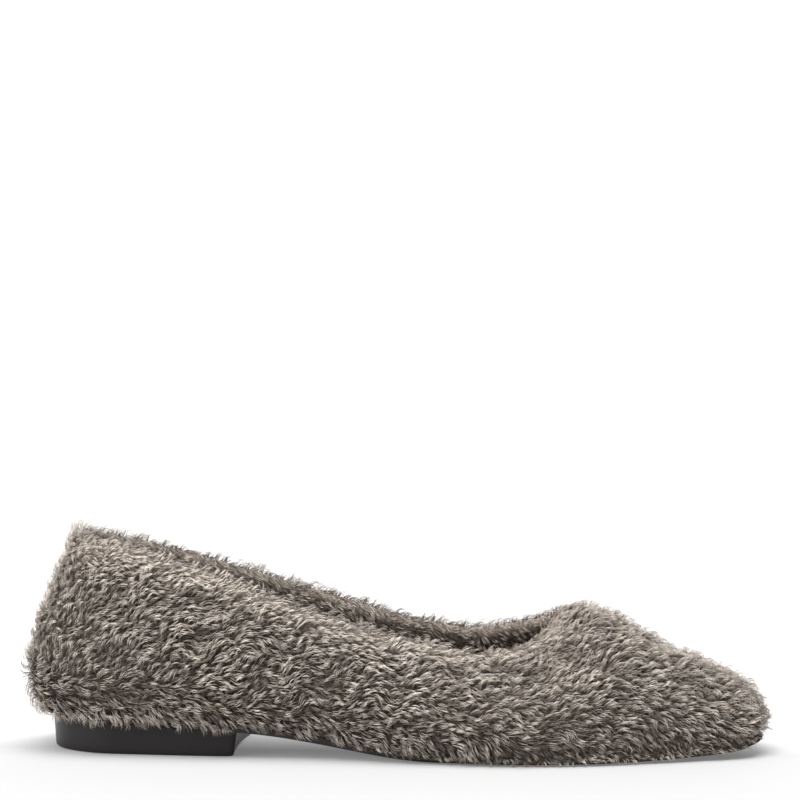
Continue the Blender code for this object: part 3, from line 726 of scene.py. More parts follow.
class FlatStage(bpy.types.PropertyGroup):
    """Camera and floor."""

    distance: length("Distance", "Camera to the shoe", 1.15)
    height: length("Height", "Camera over the floor", 0.18)
    turn: angle("Turn", "How far the view turns to the toe", math.radians(4.6))
    tilt: angle("Tilt", "How far the camera looks down", math.radians(2.8))
    aim: length("Aim", "Place along the shoe in the middle", 125.3 * MM)
    lens: number("Lens", "Focal length", 146.2, unit="CAMERA")
    floor: tint("Floor", "Paper sweep", "#909090")


def weld(piece):
    """Merges double points, drops loose ones and turns the faces outwards."""
    mesh = bmesh.new()
    mesh.from_mesh(piece.data)
    bmesh.ops.remove_doubles(mesh, verts=mesh.verts, dist=WELD_DISTANCE)
    loose = [v for v in mesh.verts if not v.link_faces]
    bmesh.ops.delete(mesh, geom=loose, context="VERTS")
    bmesh.ops.recalc_face_normals(mesh, faces=mesh.faces)
    mesh.to_mesh(piece.data)
    mesh.free()


def level(plan, height):
    """The outline in plan, at the height that the function gives for each x."""
    return np.column_stack([plan, height(plan[:, 0])])


def closing(ring, height, steps=CLOSING_STEPS, crown=0.0):
    """Rings in plan from the given one to the spine between its two sides, rising by the crown."""
    plan = ring[:, :2]
    spine = (plan + plan[-np.arange(len(plan)) % len(plan)]) / 2
    rings = []
    for t in np.linspace(0, 1, steps + 1)[1:]:
        rings.append(level(plan + (spine - plan) * t, height))
        rings[-1][:, 2] += crown * (1 - (1 - t) ** 3)
    return rings


def closed_solid(name, under, sides, over, finish):
    """A piece from rings of the same count, stacked from the spine below to the spine on top."""
    loops = [*under[::-1], *sides, *over]
    count = len(loops[0])
    here = np.arange(count)
    there = (here + 1) % count
    quads = np.stack([here, there, there + count, here + count], axis=1)
    faces = np.concatenate([quads + row * count for row in range(len(loops) - 1)])
    piece = mesh_object(name, np.concatenate(loops), faces, finish)
    weld(piece)
    piece.data.set_sharp_from_angle(angle=SHARP_ANGLE)
    return piece


def arc(count):
    """Shares of a quarter round: how far in, and how far up, from its foot to its top."""
    angles = np.linspace(0, math.pi / 2, count + 1)
    return list(zip(1 - np.cos(angles), np.sin(angles)))


def build_outsole(finish):
    """Thin outsole with a round lower edge and a small round on the upper one."""
    edge, outward = sole_edge(SOLE_COLUMNS)
    sides = []
    for inward, up in reversed(arc(ROUND_STEPS)):
        plan = edge - outward * SOLE_EDGE_ROUND * inward
        sides.append(level(plan, lambda x: sole_bottom(x) + SOLE_EDGE_ROUND * (1 - up)))
    for inward, up in arc(TOP_ROUND_STEPS):
        plan = edge - outward * SOLE_TOP_ROUND * inward
        sides.append(level(plan, lambda x: sole_top(x) - SOLE_TOP_ROUND * (1 - up)))
    under = closing(sides[0], sole_bottom)
    return closed_solid("outsole_rubber", under, sides, closing(sides[-1], sole_top), finish)


def build_insole(finish):
    """Crowned sock on its board, up to the lining all round, with a soft upper edge."""
    room = (INSOLE_THICKNESS + INSOLE_ROOM) / SKIN.rise
    low = SKIN.foot - SKIN.out * WALL
    high = SKIN.read(room[:, None], -WALL)[:, 0]

    def outline(height, inset):
        """The insole in plan at this height, with its edge this far in from the lining."""
        share = (height / (high[:, 2] - low[:, 2]))[:, None]
        return (low + (high - low) * share - SKIN.out * inset)[:, :2]

    def lifted(height):
        """The floor of the shoe, raised by this height."""
        return lambda x: sole_top(x) + SEAT_GAP + height

    sides = [level(outline(0.0, INSOLE_GAP), lifted(0.0))]
    shoulder = INSOLE_THICKNESS - INSOLE_EDGE_ROUND
    for inward, up in arc(ROUND_STEPS):
        height = shoulder + INSOLE_EDGE_ROUND * up
        sides.append(level(outline(height, INSOLE_GAP + INSOLE_EDGE_ROUND * inward), lifted(height)))
    over = closing(sides[-1], lifted(INSOLE_THICKNESS), CROWN_STEPS, INSOLE_CROWN)
    return closed_solid("insole_sock", closing(sides[0], lifted(0.0)), sides, over, finish)


def heel_outline(front, inset):
    """The heel in plan: inside the sole's edge round the back, a rounded corner, then the scooped breast."""
    halves = []
    for side in (LATERAL, MEDIAL):
        edge = edge_of_side(side, EDGE_STEPS)
        ahead = np.gradient(edge, axis=0)
        run = edge + side * inset * unit(np.stack([ahead[:, 1], -ahead[:, 0]], axis=1))
        back = halves[0][0] if halves else run[0] * [1, 0]
        run = run[run[:, 0] < front - BREAST_CORNER]
        corner = np.array([front, run[-1, 1]])
        middle = np.array([front - BREAST_SCOOP, 0.0])
        t = np.linspace(0, 1, BREAST_STEPS + 1)[1:, None]
        onto = corner + (middle - corner) * BREAST_CORNER / abs(corner[1])
        bend = (1 - t) ** 2 * run[-1] + 2 * t * (1 - t) * corner + t**2 * onto
        breast = onto + (middle - onto) * t
        breast[:, 0] = front - BREAST_SCOOP * np.sin(np.pi / 2 * (1 - breast[:, 1] / corner[1]))
        halves.append(even_points(np.concatenate([[back], run[1:], bend, breast]), HEEL_STEPS + 1))
    return np.concatenate([halves[0], halves[1][-2:0:-1]])


def build_heel(finish):
    """Low block heel: round back, slight taper, leaning and slightly scooped breast, rounded foot."""
    round_share = HEEL_EDGE_ROUND / SEAT_BACK_HEIGHT
    levels = [(round_share * (1 - up), inward) for inward, up in reversed(arc(ROUND_STEPS))]
    levels += [(share, 0.0) for share in np.linspace(round_share, 1, HEEL_ROWS)[1:]]
    sides = []
    for share, inward in levels:
        rounded = HEEL_EDGE_ROUND * inward
        front = HEEL_LENGTH + BREAST_LEAN * share - rounded
        plan = heel_outline(front, HEEL_INSET + HEEL_TAPER * (1 - share) + rounded)
        sides.append(level(plan, lambda x: (sole_bottom(x) - SEAT_GAP) * share))
    over = closing(sides[-1], lambda x: sole_bottom(x) - SEAT_GAP)
    return closed_solid("heel_block", closing(sides[0], np.zeros_like), sides, over, finish)


def hem_edge(outset):
    """Lower edge of the hem, this far outside the ledge beside the sole."""
    drop = HEM_DROP * straight(HEM_LEVEL, SIDE_SHARE)
    outset = outset * straight(HEM_OUTSET, SIDE_SHARE)
    return SKIN.foot + SKIN.out * (SIDE_GAP + outset)[:, None] - UP * drop[:, None]


def build_shell():
    """Points of the cloth's closed solid by column: outside, rim, inside and hem, with their counts."""
    shares = np.linspace(0, 1, SHELL_ROWS)
    low = hem_edge(UNDERFUR + HEM_SPREAD)
    cover = np.interp(shares, NEAR_RIM, (UNDERFUR, UNDERFUR_NEAR_RIM))
    outer = np.concatenate([low[:, None], SKIN.read(shares, cover)], axis=1)
    rim = SKIN.rim(UNDERFUR_NEAR_RIM, WALL + BAND_UNDERFUR, UNDERFUR_OVER_RIM, RIM_ROWS)
    past = np.maximum(STEPS_ROUND - OPEN_COLUMNS, 0)
    band = BAND_UNDERFUR * np.clip(1 - past / BAND_FADE_COLUMNS, 0, 1)[:, None]
    rise = SKIN.rise[:, None]
    room = (INSOLE_THICKNESS + INSOLE_ROOM) / rise
    start = np.maximum(1 - BAND_DEPTH / rise, room + BAND_OVER_INSOLE)
    down_band = 1 - np.linspace(0, 1, BAND_ROWS)[None] * (1 - start)
    down_lining = start * (1 - np.linspace(0, 1, LINING_ROWS + 1)[None, 1:])
    inner = np.concatenate([SKIN.read(down_band, -(WALL + band)), SKIN.read(down_lining, -WALL)], axis=1)
    inner[:, -1] = SKIN.foot - SKIN.out * WALL
    hem = np.stack([SKIN.foot + SKIN.out * SIDE_GAP, hem_edge(0.0)], axis=1)
    parts = (outer, rim, inner, hem)
    return np.concatenate(parts, axis=1), [part.shape[1] for part in parts]


def shell_faces(counts):
    """Quads of the shell, with the strips over the rim only at the collar."""
    outer, rim = counts[:2]
    total = sum(counts)
    here = np.arange(2 * COLUMNS)
    there = (here + 1) % (2 * COLUMNS)
    both_open = AT_COLLAR[here] & AT_COLLAR[there]
    faces = []
    for row in range(total):
        after = (row + 1) % total
        corners = (here * total + row, there * total + row, there * total + after, here * total + after)
        strip = np.stack(corners, axis=1)
        faces.append(strip[both_open] if outer - 1 <= row < outer + rim else strip)
    return np.concatenate(faces)


def grain(tree, size, depth, strength=1.0, detail=3.0):
    """Noise with features of this size on the object's own coordinates, and its bump of this depth."""
    place = node(tree, "ShaderNodeTexCoord").outputs["Object"]
    noise = node(tree, "ShaderNodeTexNoise", inputs={"Vector": place, "Scale": 1 / size, "Detail": detail})
    bump = node(tree, "ShaderNodeBump", inputs={"Height": noise, "Strength": strength, "Distance": depth})
    return noise, bump


def darker(colour, share):
    """The colour with this share of its light."""
    return tuple(part * share for part in colour[:3])


def underfur_finish():
    """Crimped polyester underfur: short and dense, dark as painted shade so that the gaps between the strands
    look deep.
    """
    finish, tree, shader = new_finish("crimped_polyester_underfur")
    noise, bump = grain(tree, size=1.1 * MM, depth=0.6 * MM)
    # Pale is a painted highlight at the rim, over the dark colour that stands for shade between the strands
    pale = node(tree, "ShaderNodeAttribute", attribute_name="pale").outputs["Fac"]
    light = node(tree, MATH, pale, RIM_HIGHLIGHT_SHARE, noise, operation="MULTIPLY_ADD")
    stops = [(place, linear(colour)) for place, colour in UNDERFUR_SHADES]
    colours = fill(node(tree, RAMP, light), *stops)
    wire(tree, shader, {"Base Color": colours, "Normal": bump, "Roughness": 0.95, "Specular IOR Level": 0.1})
    return finish


def lining_finish(colour):
    """Brushed polyester knit: matt, faintly mottled taupe with a soft nap that catches light at its edges."""
    # The real loops are about 0.4 mm wide and are drawn coarser, so that they show
    finish, tree, shader = new_finish("brushed_polyester_knit")
    noise, bump = grain(tree, size=0.8 * MM, depth=0.25 * MM, strength=0.6)
    colours = fill(node(tree, RAMP, noise), (0.3, darker(colour, 0.75)), (0.7, colour))
    wire(tree, shader, {"Base Color": colours, "Normal": bump, "Roughness": 0.9, "Specular IOR Level": 0.2})
    wire(tree, shader, {"Sheen Weight": 0.25, "Sheen Roughness": 0.5})
    return finish


def suede_finish(colour):
    """Buffed split suede: cloudy where the nap lies both ways, quite matt."""
    # The real nap is about 0.2 mm wide and is drawn coarser, so that it shows. The clouds have real size.
    finish, tree, shader = new_finish("buffed_split_suede")
    noise, bump = grain(tree, size=1.0 * MM, depth=0.2 * MM, strength=0.5, detail=5.0)
    place = node(tree, "ShaderNodeTexCoord").outputs["Object"]
    inputs = {"Vector": place, "Scale": 1 / SUEDE_CLOUD, "Detail": 3.0}
    cloud = node(tree, "ShaderNodeTexNoise", inputs=inputs)
    mixed = node(tree, "ShaderNodeMix", inputs={0: 0.35, 2: cloud, 3: noise})
    colours = fill(node(tree, RAMP, mixed), (0.35, darker(colour, 0.7)), (0.65, colour))
    wire(tree, shader, {"Base Color": colours, "Normal": bump, "Roughness": 0.85, "Specular IOR Level": 0.25})
    wire(tree, shader, {"Sheen Weight": 0.2, "Sheen Roughness": 0.4})
    return finish


def moulded_finish(name, colour, dark, depth, strength, gloss):
    """Mould grain: noise that darkens the colour to a share, sinks this deep and spreads the roughness."""
    # The real grain of both moulds is about 0.1 mm wide and is drawn coarser, so that it shows
    finish, tree, shader = new_finish(name)
    noise, bump = grain(tree, size=0.9 * MM, depth=depth, strength=strength)
    wire(tree, shader, {"Normal": bump})
    for socket, low, high in (
        ("Base Color", darker(colour, dark), colour),
        ("Roughness", (gloss[0],) * 3, (gloss[1],) * 3),
    ):
        wire(tree, shader, {socket: fill(node(tree, RAMP, noise), (0.3, low), (0.7, high))})
    return finish, tree, shader


def rubber_finish(colour):
    """Moulded rubber with a fine sandblasted grain: dark, matt, slightly uneven in its gloss."""
    return moulded_finish("moulded_rubber", colour, 0.8, 0.08 * MM, 0.6, (0.5, 0.68))[0]


def heel_finish(colour):
    """Injection-moulded ABS with a fine spark texture: dark brown-black with a soft satin sheen."""
    finish, tree, shader = moulded_finish("moulded_satin_abs", colour, 0.88, 0.03 * MM, 0.5, (0.36, 0.46))
    wire(tree, shader, {"IOR": 1.53, "Specular IOR Level": 0.24})
    return finish


def plush_finish(fur):
    """Crimped polyester plush: dark root, frosted tip and a silky gloss. The map holds paleness with painted
    light, and way.
    """
    finish, tree, shader = new_finish("crimped_polyester_plush")
    uv = node(tree, "ShaderNodeUVMap", uv_map=STRAND_MAP)
    tone, way = node(tree, "ShaderNodeSeparateXYZ", uv).outputs[:2]
    dull, pale = [
        fill(node(tree, RAMP, way), (0.0, linear(root)), (TIP_FROM, tip))
        for root, tip in ((ROOT_SHADE, fur.shade), (ROOT_FROST, fur.frost))
    ]
    mixed = node(tree, "ShaderNodeMix", inputs={0: tone, 6: dull, 7: pale}, data_type="RGBA")
    wire(tree, shader, {"Base Color": mixed.outputs[2], "Roughness": 0.5, "Specular IOR Level": 0.4})
    return finish


def plush_tree(finish):
    """Geometry Nodes that root curled strands on a patch of the skin, comb them and gather them in tufts."""
    tree = bpy.data.node_groups.new("plush", "GeometryNodeTree")
    tree.interface.new_socket("Geometry", in_out="OUTPUT", socket_type="NodeSocketGeometry")
    tree.interface.new_socket("Geometry", in_out="INPUT", socket_type="NodeSocketGeometry")
    for name in FUR_INPUTS:
        kind = "NodeSocketInt" if name == "Seed" else "NodeSocketFloat"
        tree.interface.new_socket(name, in_out="INPUT", socket_type=kind)
    add = partial(node, tree)
    given = add("NodeGroupInput").outputs
    traits = {}
    for name in ("flow", *ALONG):
        kind = "FLOAT_VECTOR" if name == "flow" else "FLOAT"
        traits[name] = add("GeometryNodeInputNamedAttribute", name, data_type=kind)

    # Roots of the strands, and the middles of the tufts that they belong to
    per_area = add(MATH, given["Density"], 1 / MM**2, operation="MULTIPLY")
    tuft_gap = add(MATH, given["Tuft"], TUFT_GAP, operation="MULTIPLY")
    per_tuft = add(MATH, given["Tuft"], -2.0, operation="POWER")
    roots, tufts = [
        add(
            "GeometryNodeDistributePointsOnFaces",
            inputs={
                "Mesh": given["Geometry"],
                "Distance Min": gap,
                "Density Max": density,
                "Density Factor": share,
                "Seed": given["Seed"],
            },
            distribute_method="POISSON",
        )
        for gap, density, share in ((given["Spacing"], per_area, traits["share"]), (tuft_gap, per_tuft, 1.0))
    ]
    normal = roots.outputs["Normal"]
    here = add("GeometryNodeInputPosition")
    nearest = add("GeometryNodeSampleNearest", tufts, here, domain="POINT")
    middle = add(
        "GeometryNodeSampleIndex",
        inputs={"Geometry": tufts, "Value": here, "Index": nearest},
        data_type="FLOAT_VECTOR",
        domain="POINT",
    )
    pull = add(VECTOR_MATH, middle, here, operation="SUBTRACT")

    # Chance in three parts from -1 to 1, mostly the tuft's: x turns it, y curls it, and z lifts it and sets
    # its tint, at random and with a painted highlight on the topcoat
    low, high = (-1, -1, -1), (1, 1, 1)
    by_tuft = add(
        "FunctionNodeRandomValue",
        low,
        high,
        inputs={"ID": nearest, "Seed": TUFT_SEED},
        data_type="FLOAT_VECTOR",
    )
    by_strand = add(
        "FunctionNodeRandomValue", low, high, inputs={"Seed": STRAND_SEED}, data_type="FLOAT_VECTOR"
    )
    chance = add("ShaderNodeMix", inputs={0: TUFT_SHARE, 4: by_strand, 5: by_tuft}, data_type="VECTOR")
    chances = add("ShaderNodeSeparateXYZ", chance.outputs[1]).outputs
    own = add("ShaderNodeSeparateXYZ", by_strand).outputs
    shortest, longest = LENGTHS
    lengths = add(
        "FunctionNodeRandomValue", inputs={2: shortest, 3: longest, "Seed": LENGTH_SEED}, data_type="FLOAT"
    )

    # Swirls of the nap, from -1 to 1: x turns the strands, y lifts them and paints them paler where raised
    # and darker where sunk, as painted light and shade, and z curls them
    swirl = add(
        "ShaderNodeTexNoise",
        inputs={"Vector": here, "Scale": 1 / SWIRL_SIZE, "Detail": 2.0, "Roughness": 0.55},
    )
    spread, centre = (SWIRL_SPREAD,) * 3, (-SWIRL_SPREAD / 2,) * 3
    centred = add(VECTOR_MATH, swirl.outputs["Color"], spread, centre, operation="MULTIPLY_ADD")
    swirls = add("ShaderNodeSeparateXYZ", centred).outputs

    # What adds up to curl, turn, lift and tint, where the tint is partly random and partly painted light:
    # paler on raised swirls and on the topcoat, darker on sunk swirls. The curl turns down the side of the
    # shoe more often than up.
    across = add(VECTOR_MATH, normal, traits["flow"], operation="CROSS_PRODUCT")
    uphill = add("ShaderNodeSeparateXYZ", across).outputs["Z"]
    topcoat = add("ShaderNodeMapRange", chances["Z"], *TOPCOAT, 0.0, 1.0)
    tints_and_light = ((chances["Z"], TUFT_TINT), (swirls["Y"], SWIRL_PAINTED_LIGHT), (own["X"], STRAND_TINT))
    sums = []
    for total, *terms in (
        (0.0, (chances["Y"], CURL_SHARE), (uphill, -DROOP_SHARE), (swirls["Z"], SWIRL_CURL)),
        (0.0, (swirls["X"], SWIRL_TURN), (chances["X"], given["Scatter"])),
        (UNDERCOAT_LIFT, (topcoat, 1 - UNDERCOAT_LIFT), (swirls["Y"], SWIRL_LIFT), (own["Z"], STRAND_LIFT)),
        (0.0, *tints_and_light, (topcoat, TOPCOAT_HIGHLIGHT)),
    ):
        for value, weight in terms:
            total = add(MATH, value, weight, total, operation="MULTIPLY_ADD")
        sums.append(total)
    curled, turned, lifted, tinted_and_lit = sums
    amount = add(MATH, curled, operation="ABSOLUTE")
    amount = add(MATH, amount, 1 - LEAST_CURL, LEAST_CURL, operation="MULTIPLY_ADD")
    sign = add(MATH, curled, operation="SIGN")
    ruffled = add(MATH, lifted, MEAN_LIFT, operation="SUBTRACT")
    ruffled = add(MATH, ruffled, traits["ruffle"], MEAN_LIFT, operation="MULTIPLY_ADD")
    ruffled = add(MATH, ruffled, LEAST_LIFT, operation="MAXIMUM")
    products = []
    for product, *factors in (
        (amount, sign, given["Curl"], traits["curl"]),
        (lengths.outputs[1], traits["size"], given["Pile"]),
        (ruffled, traits["loft"], given["Loft"]),
    ):
        for factor in factors:
            product = add(MATH, product, factor, operation="MULTIPLY")
        products.append(product)
    bend, long, tall = products
    start = add(MATH, bend, -0.5, turned, operation="MULTIPLY_ADD")
    ahead = add("ShaderNodeVectorRotate", inputs={"Vector": traits["flow"], "Axis": normal, "Angle": start})
    aside = add(VECTOR_MATH, normal, ahead, operation="CROSS_PRODUCT")
    # How pale a strand is: random tint with painted light and shade from its place, its swirl and its topcoat
    tone = add("ShaderNodeClamp", add(MATH, tinted_and_lit, traits["tone"], operation="ADD"))

    # One blade with three sides stands for each strand and keeps what its root knows
    vectors = {"root": here, "normal": normal, "aside": aside, "pull": pull}
    numbers = {"bend": bend, "long": long, "tall": tall, "tone": tone}
    kept = add("GeometryNodeCaptureAttribute")
    for kind, knows in (("VECTOR", vectors), ("FLOAT", numbers)):
        for name in knows:
            kept.capture_items.new(kind, name)
    wire(tree, kept, {"Geometry": roots, **vectors, **numbers})
    blade = add(
        "GeometryNodeMeshCone",
        BLADE_SIDES,
        BLADE_PARTS,
        inputs={"Radius Top": 0.0, "Radius Bottom": 1.0, "Depth": 1.0},
    )
    shape = add("GeometryNodeCaptureAttribute")
    shape.capture_items.new("VECTOR", "place")
    wire(tree, shape, {"Geometry": blade, "place": here})
    stood = add("GeometryNodeInstanceOnPoints", inputs={"Points": kept, "Instance": shape})
    real = add("GeometryNodeRealizeInstances", stood)

    # Each point of a strand: on an arc about the strand's centre, lifted over the skin, drawn to its tuft
    known = kept.outputs
    local = add("ShaderNodeSeparateXYZ", shape.outputs["place"]).outputs
    way = local["Z"]
    half = add(MATH, 1.0, way, operation="SUBTRACT")
    narrowing = (("MAXIMUM", BLADE_TIP), ("POWER", BLADE_TAPER - 1))
    for operation, value in (*narrowing, ("MULTIPLY", given["Thickness"]), ("MULTIPLY", 0.5)):
        half = add(MATH, half, value, operation=operation)
    radius = add(MATH, known["long"], known["bend"], operation="DIVIDE")
    arm = add(MATH, local["X"], half, operation="MULTIPLY")
    arm = add(MATH, arm, radius, operation="SUBTRACT")
    swung = add(
        "ShaderNodeVectorRotate",
        inputs={
            "Vector": add(VECTOR_MATH, known["aside"], inputs={"Scale": arm}, operation="SCALE"),
            "Axis": known["normal"],
            "Angle": add(MATH, known["bend"], way, operation="MULTIPLY"),
        },
    )
    lines = []
    for stops in (BLADE_RISE, BLADE_GATHER):
        line = add("ShaderNodeFloatCurve", inputs={"Value": way})
        held = line.mapping.curves[0]
        for _ in stops[2:]:
            held.points.new(0.5, 0.5)
        for point, stop in zip(held.points, stops):
            point.location = stop
        line.mapping.update()
        lines.append(line)
    rise, gather = lines
    risen = add(MATH, rise, known["tall"], operation="MULTIPLY")
    flat = add(MATH, local["Y"], BLADE_FLATNESS, operation="MULTIPLY")
    risen = add(MATH, flat, half, risen, operation="MULTIPLY_ADD")
    place = add(VECTOR_MATH, known["root"], swung, operation="ADD")
    for name, amount in (("aside", radius), ("normal", risen), ("pull", gather)):
        place = add(VECTOR_MATH, known[name], amount, place, operation="MULTIPLY_ADD")
    place = add(VECTOR_MATH, place, (-1.0, -1.0, STRAND_FLOOR), operation="MAXIMUM")
    placed = add("GeometryNodeSetPosition", inputs={"Geometry": real, "Position": place})
    mapped = add(
        "GeometryNodeStoreNamedAttribute",
        inputs={
            "Geometry": placed,
            "Name": STRAND_MAP,
            "Value": add("ShaderNodeCombineXYZ", known["tone"], way),
        },
        data_type="FLOAT2",
        domain="CORNER",
    )
    soft = add("GeometryNodeSetShadeSmooth", mapped)
    add("NodeGroupOutput", add("GeometryNodeSetMaterial", inputs={"Geometry": soft, "Material": finish}))
    return tree


def comb_angle(chain, side):
    """Angle of the comb at each place of the pelt, in radians up from the way to the toe."""
    degrees = curve(COMB, 1, side)
    for goal, stops in (
        (curve(COMB, 2, side), ((0, 0), (COMB_MIDDLE, 1))),
        (curve(COMB, 3, side), ((COMB_MIDDLE, 0), (1, 1))),
        (COMB_INSIDE, ((1, 0), (2, 1))),
        (COMB_RIM, ((1 - RIM_REACH, 0), (1, 1), (1 + RIM_REACH, 0))),
    ):
        degrees = degrees + (goal - degrees) * straight(stops, chain)
    return np.radians(degrees)


class Pelt:
    """The surface that the strands are rooted on, from the hem over the rim and down to the band's end."""

    def __init__(self):
        shares = np.linspace(0, 1, SHELL_ROWS)
        low = hem_edge(ROOT_DEPTH + HEM_SPREAD)
        inside = WALL + BAND_UNDERFUR / 2
        rim = SKIN.rim(ROOT_DEPTH, inside, UNDERFUR_OVER_RIM - ROOTS_UNDER_RIM, RIM_ROWS)
        down = 1 - np.linspace(0, 1, BAND_ROWS)[None] * BAND_DEPTH / SKIN.rise[:, None]
        inner = SKIN.read(down, -inside)
        self.points = np.concatenate([low[:, None], SKIN.read(shares, ROOT_DEPTH), rim, inner], axis=1)
        # Place on the chain: 0 at the hem, 1 at the collar or ridge, 2 at the band's end
        past = 1 + np.linspace(0, 1, RIM_ROWS + BAND_ROWS + 1)[1:]
        chain = np.concatenate([[0], np.maximum(shares, LEDGE_PLACE), past])
        self.chain = np.broadcast_to(chain, self.points.shape[:2])
        self.side = np.broadcast_to(SIDE_SHARE[:, None], self.points.shape[:2])

    def flow(self):
        """The way that the strands lie, along the pelt."""
        comb = comb_angle(self.chain, self.side)[..., None]
        upward = unit(np.gradient(self.points, axis=1))
        across = np.roll(self.points, -1, axis=0) - np.roll(self.points, 1, axis=0)
        normals = unit(np.cross(across, upward))
        forward = unit(np.array([1.0, 0.0, 0.0]) - normals * normals[..., :1])
        return unit(forward * np.cos(comb) + upward * np.sin(comb))

    def traits(self):
        """What the nodes read at each point."""
        found = {name: straight(stops, self.chain) for name, stops in ALONG.items()}
        found["size"] *= curve(COMB, 4, self.side)
        for over, round_side, effects in PLACES:
            here = straight(over, self.chain) * straight(round_side, self.side)
            for name, effect in effects.items():
                if name in ("size", "loft"):
                    found[name] *= 1 + effect * here
                else:
                    found[name] += effect * here
        found["loft"] *= found["size"]
        found["flow"] = self.flow()
        return found

    def patch(self, over, round_side, signs):
        """The part of the pelt between two places over it and two round the side, on these sides."""
        columns, rows = self.points.shape[:2]
        here = np.arange(columns)[:, None]
        there = (here + 1) % columns
        row = np.arange(rows - 1)[None]
        chain = (self.chain[here, row] + self.chain[here, row + 1]) / 2
        side = (self.side[here, row] + self.side[there, row]) / 2
        chosen = (chain < 1) | (AT_COLLAR[here] & AT_COLLAR[there])
        chosen = chosen & np.isin(np.where(here < COLUMNS, LATERAL, MEDIAL), signs)
        for place, (low, high) in ((chain, over), (side, round_side)):
            chosen = chosen & (low < place) & (place < high)
        corners = (here * rows + row, there * rows + row, there * rows + row + 1, here * rows + row + 1)
        faces = np.stack(np.broadcast_arrays(*corners), axis=-1)[chosen]
        return mesh_object("patch", self.points.reshape(-1, 3), faces)


def grow(context, patch, tree, values, name):
    """Runs the tree on a patch with these inputs, and returns the strands as a piece with a plain mesh."""
    sockets = {s.name: s.identifier for s in tree.interface.items_tree if s.in_out == "INPUT"}
    modifier = patch.modifiers.new("plush", "NODES")
    modifier.node_group = tree
    for key, value in values.items():
        modifier[sockets[key]] = value
    data = bpy.data.meshes.new_from_object(patch.evaluated_get(context.evaluated_depsgraph_get()))
    bpy.data.objects.remove(patch)
    if not data.polygons:
        raise RuntimeError(f"{name} has no strands")
    data.name = name
    return put(name, data)


class FLAT_OT_stage(bpy.types.Operator):
    """Pale paper sweep, soft studio light and the camera at the photo's angle"""

    bl_idname = "flat.stage"
    bl_label = "Stage"

    def execute(self, context):
        style = context.scene.flat_stage
        scene = context.scene
        scene.view_settings.view_transform = "Standard"
        camera = bpy.data.cameras.new("camera")
        camera.lens = style.lens
        camera.sensor_width = 36.0
        eye = put("camera", camera)
        eye.location = (
            SHIFT[0] + style.aim + style.distance * math.sin(style.turn),
            SHIFT[1] - style.distance * math.cos(style.turn),
            style.height,
        )
        eye.rotation_euler = Euler((math.pi / 2 - style.tilt, 0.0, style.turn), "XYZ")
        scene.camera = eye
        points = [(x, y, z) for x in (-SWEEP_HALF_WIDTH, SWEEP_HALF_WIDTH) for y, z, _ in SWEEP]
        rows = len(SWEEP)
        faces = [(k, k + rows, k + rows + 1, k + 1) for k in range(rows - 1)]
        finish, tree, shader = new_finish("matt_paper_sweep")
        # The glow is painted light that lightens the shoe's shadows on the sweep
        glow = node(tree, "ShaderNodeAttribute", attribute_name="glow").outputs["Fac"]
        wire(tree, shader, {"Emission Color": (1.0, 1.0, 1.0, 1.0), "Emission Strength": glow})
        wire(tree, shader, {"Base Color": (*style.floor, 1.0), "Roughness": 0.9, "Specular IOR Level": 0.1})
        floor = mesh_object("floor", np.array(points) - SHIFT, faces, finish)
        store(floor, "glow", [row[2] for row in SWEEP] * 2)
        world = bpy.data.worlds.new("studio")
        world.use_nodes = True
        background = world.node_tree.nodes["Background"]
        wire(world.node_tree, background, {"Color": (1.0, 1.0, 1.0, 1.0), "Strength": WORLD_LIGHT})
        scene.world = world
        for name, place, size, power in LAMPS:
            lamp = bpy.data.lights.new(name, "AREA")
            lamp.shape = "DISK"
            lamp.size = size
            lamp.energy = power
            light = put(name, lamp)
            light.location = place
            light.rotation_euler = (Vector(LAMP_AIM) - Vector(place)).to_track_quat("-Z", "Y").to_euler()
        return {"FINISHED"}


class FLAT_OT_shell(bpy.types.Operator):
    """Cloth shell of the upper with its underfur, hem and lining"""

    bl_idname = "flat.shell"
    bl_label = "Cloth shell"

    def execute(self, context):
        points, counts = build_shell()
        faces = shell_faces(counts)
        finishes = (underfur_finish(), lining_finish(context.scene.flat_sole.lining))
        shell = mesh_object("upper_shell", points.reshape(-1, 3), faces, *finishes)
        row = faces[:, 0] % sum(counts)
        lined = (row >= sum(counts[:2]) + BAND_ROWS) & (row < sum(counts[:3]) - 1)
        shell.data.polygons.foreach_set("material_index", lined.astype(np.int32))
        # The underfur is painted paler at the rim, a painted highlight on its lit edge
        outside = straight(RIM_HIGHLIGHT_UP, np.linspace(0, 1, counts[0] - 1))
        inside = straight(RIM_HIGHLIGHT_DOWN, np.arange(sum(counts[2:])))
        pale = np.concatenate([[0.0], outside, np.ones(counts[1]), inside])
        store(shell, "pale", np.tile(pale, 2 * COLUMNS))
        weld(shell)
        seat(shell, "fur", "upper")
        return {"FINISHED"}


class FLAT_OT_plush(bpy.types.Operator):
    """Strands of plush over the whole upper, over its rim and in the band inside it"""

    bl_idname = "flat.plush"
    bl_label = "Plush"

    def execute(self, context):
        fur = context.scene.flat_fur
        tree = plush_tree(plush_finish(fur))
        values = {name: getattr(fur, name.lower()) for name in FUR_INPUTS}
        pelt = Pelt()
        traits = pelt.traits()
        for name, *where in PATCHES:
            patch = pelt.patch(*where)
            for trait, amounts in traits.items():
                store(patch, trait, amounts)
            seat(grow(context, patch, tree, values, name), "fur")
        return {"FINISHED"}


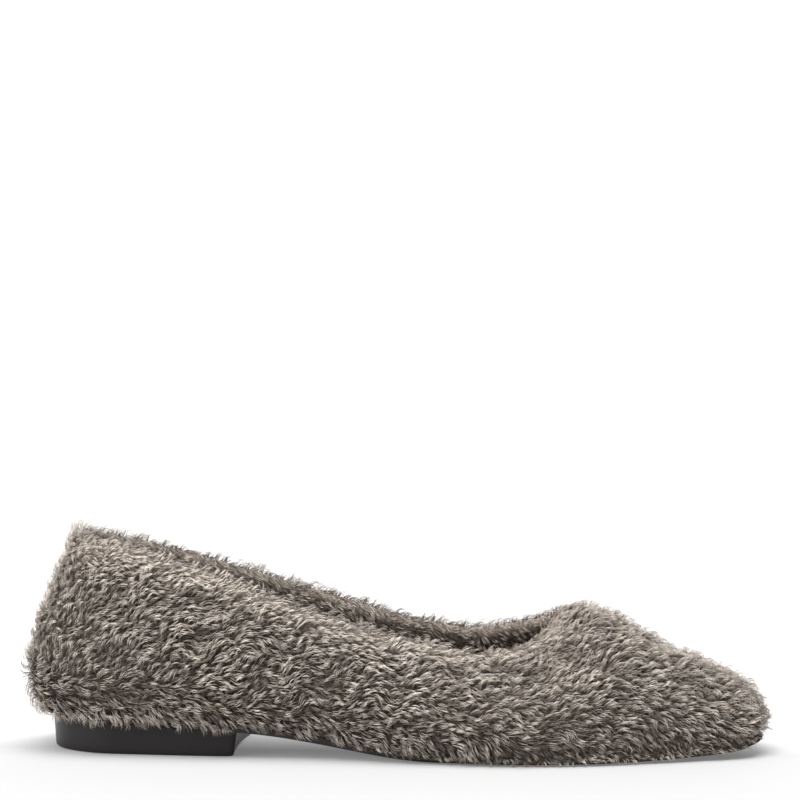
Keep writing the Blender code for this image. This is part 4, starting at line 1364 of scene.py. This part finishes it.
class FLAT_OT_insole(bpy.types.Operator):
    """Crowned suede sock on the shoe's floor"""

    bl_idname = "flat.insole"
    bl_label = "Insole"

    def execute(self, context):
        seat(build_insole(suede_finish(context.scene.flat_sole.insole)), "insole_suede", "insole")
        return {"FINISHED"}


class FLAT_OT_outsole(bpy.types.Operator):
    """Thin rubber outsole"""

    bl_idname = "flat.outsole"
    bl_label = "Outsole"

    def execute(self, context):
        seat(build_outsole(rubber_finish(context.scene.flat_sole.outsole)), "outsole_rubber", "outsole")
        return {"FINISHED"}


class FLAT_OT_heel(bpy.types.Operator):
    """Low moulded heel block"""

    bl_idname = "flat.heel"
    bl_label = "Heel block"

    def execute(self, context):
        seat(build_heel(heel_finish(context.scene.flat_sole.heel)), "heel_block", "heel")
        return {"FINISHED"}


STEPS = (FLAT_OT_stage, FLAT_OT_outsole, FLAT_OT_heel, FLAT_OT_insole, FLAT_OT_shell, FLAT_OT_plush)
SETTINGS = {"flat_fur": FlatFur, "flat_sole": FlatSole, "flat_stage": FlatStage}


class FLAT_PT_panel(bpy.types.Panel):
    """Sizes, colours and steps of the fur flat"""

    bl_idname = "FLAT_PT_panel"
    bl_label = "Fur Flat"
    bl_space_type = "VIEW_3D"
    bl_region_type = "UI"
    bl_category = "Fur Flat"

    def draw(self, context):
        for setting in SETTINGS:
            group = getattr(context.scene, setting)
            box = self.layout.box()
            for name in group.__annotations__:
                box.prop(group, name)
        for step in STEPS:
            self.layout.operator(step.bl_idname)


CLASSES = (*SETTINGS.values(), *STEPS, FLAT_PT_panel)


def register():
    """Registers the classes and gives the scene its settings."""
    for cls in CLASSES:
        bpy.utils.register_class(cls)
    for name, group in SETTINGS.items():
        setattr(bpy.types.Scene, name, PointerProperty(type=group))


def unregister():
    """Undoes register."""
    for name in SETTINGS:
        delattr(bpy.types.Scene, name)
    for cls in reversed(CLASSES):
        bpy.utils.unregister_class(cls)


def main():
    """Builds the shoe on its stage."""
    register()
    bpy.ops.flat.stage()
    bpy.ops.flat.outsole()
    bpy.ops.flat.heel()
    bpy.ops.flat.insole()
    bpy.ops.flat.shell()
    bpy.ops.flat.plush()


if __name__ == "__main__":
    main()
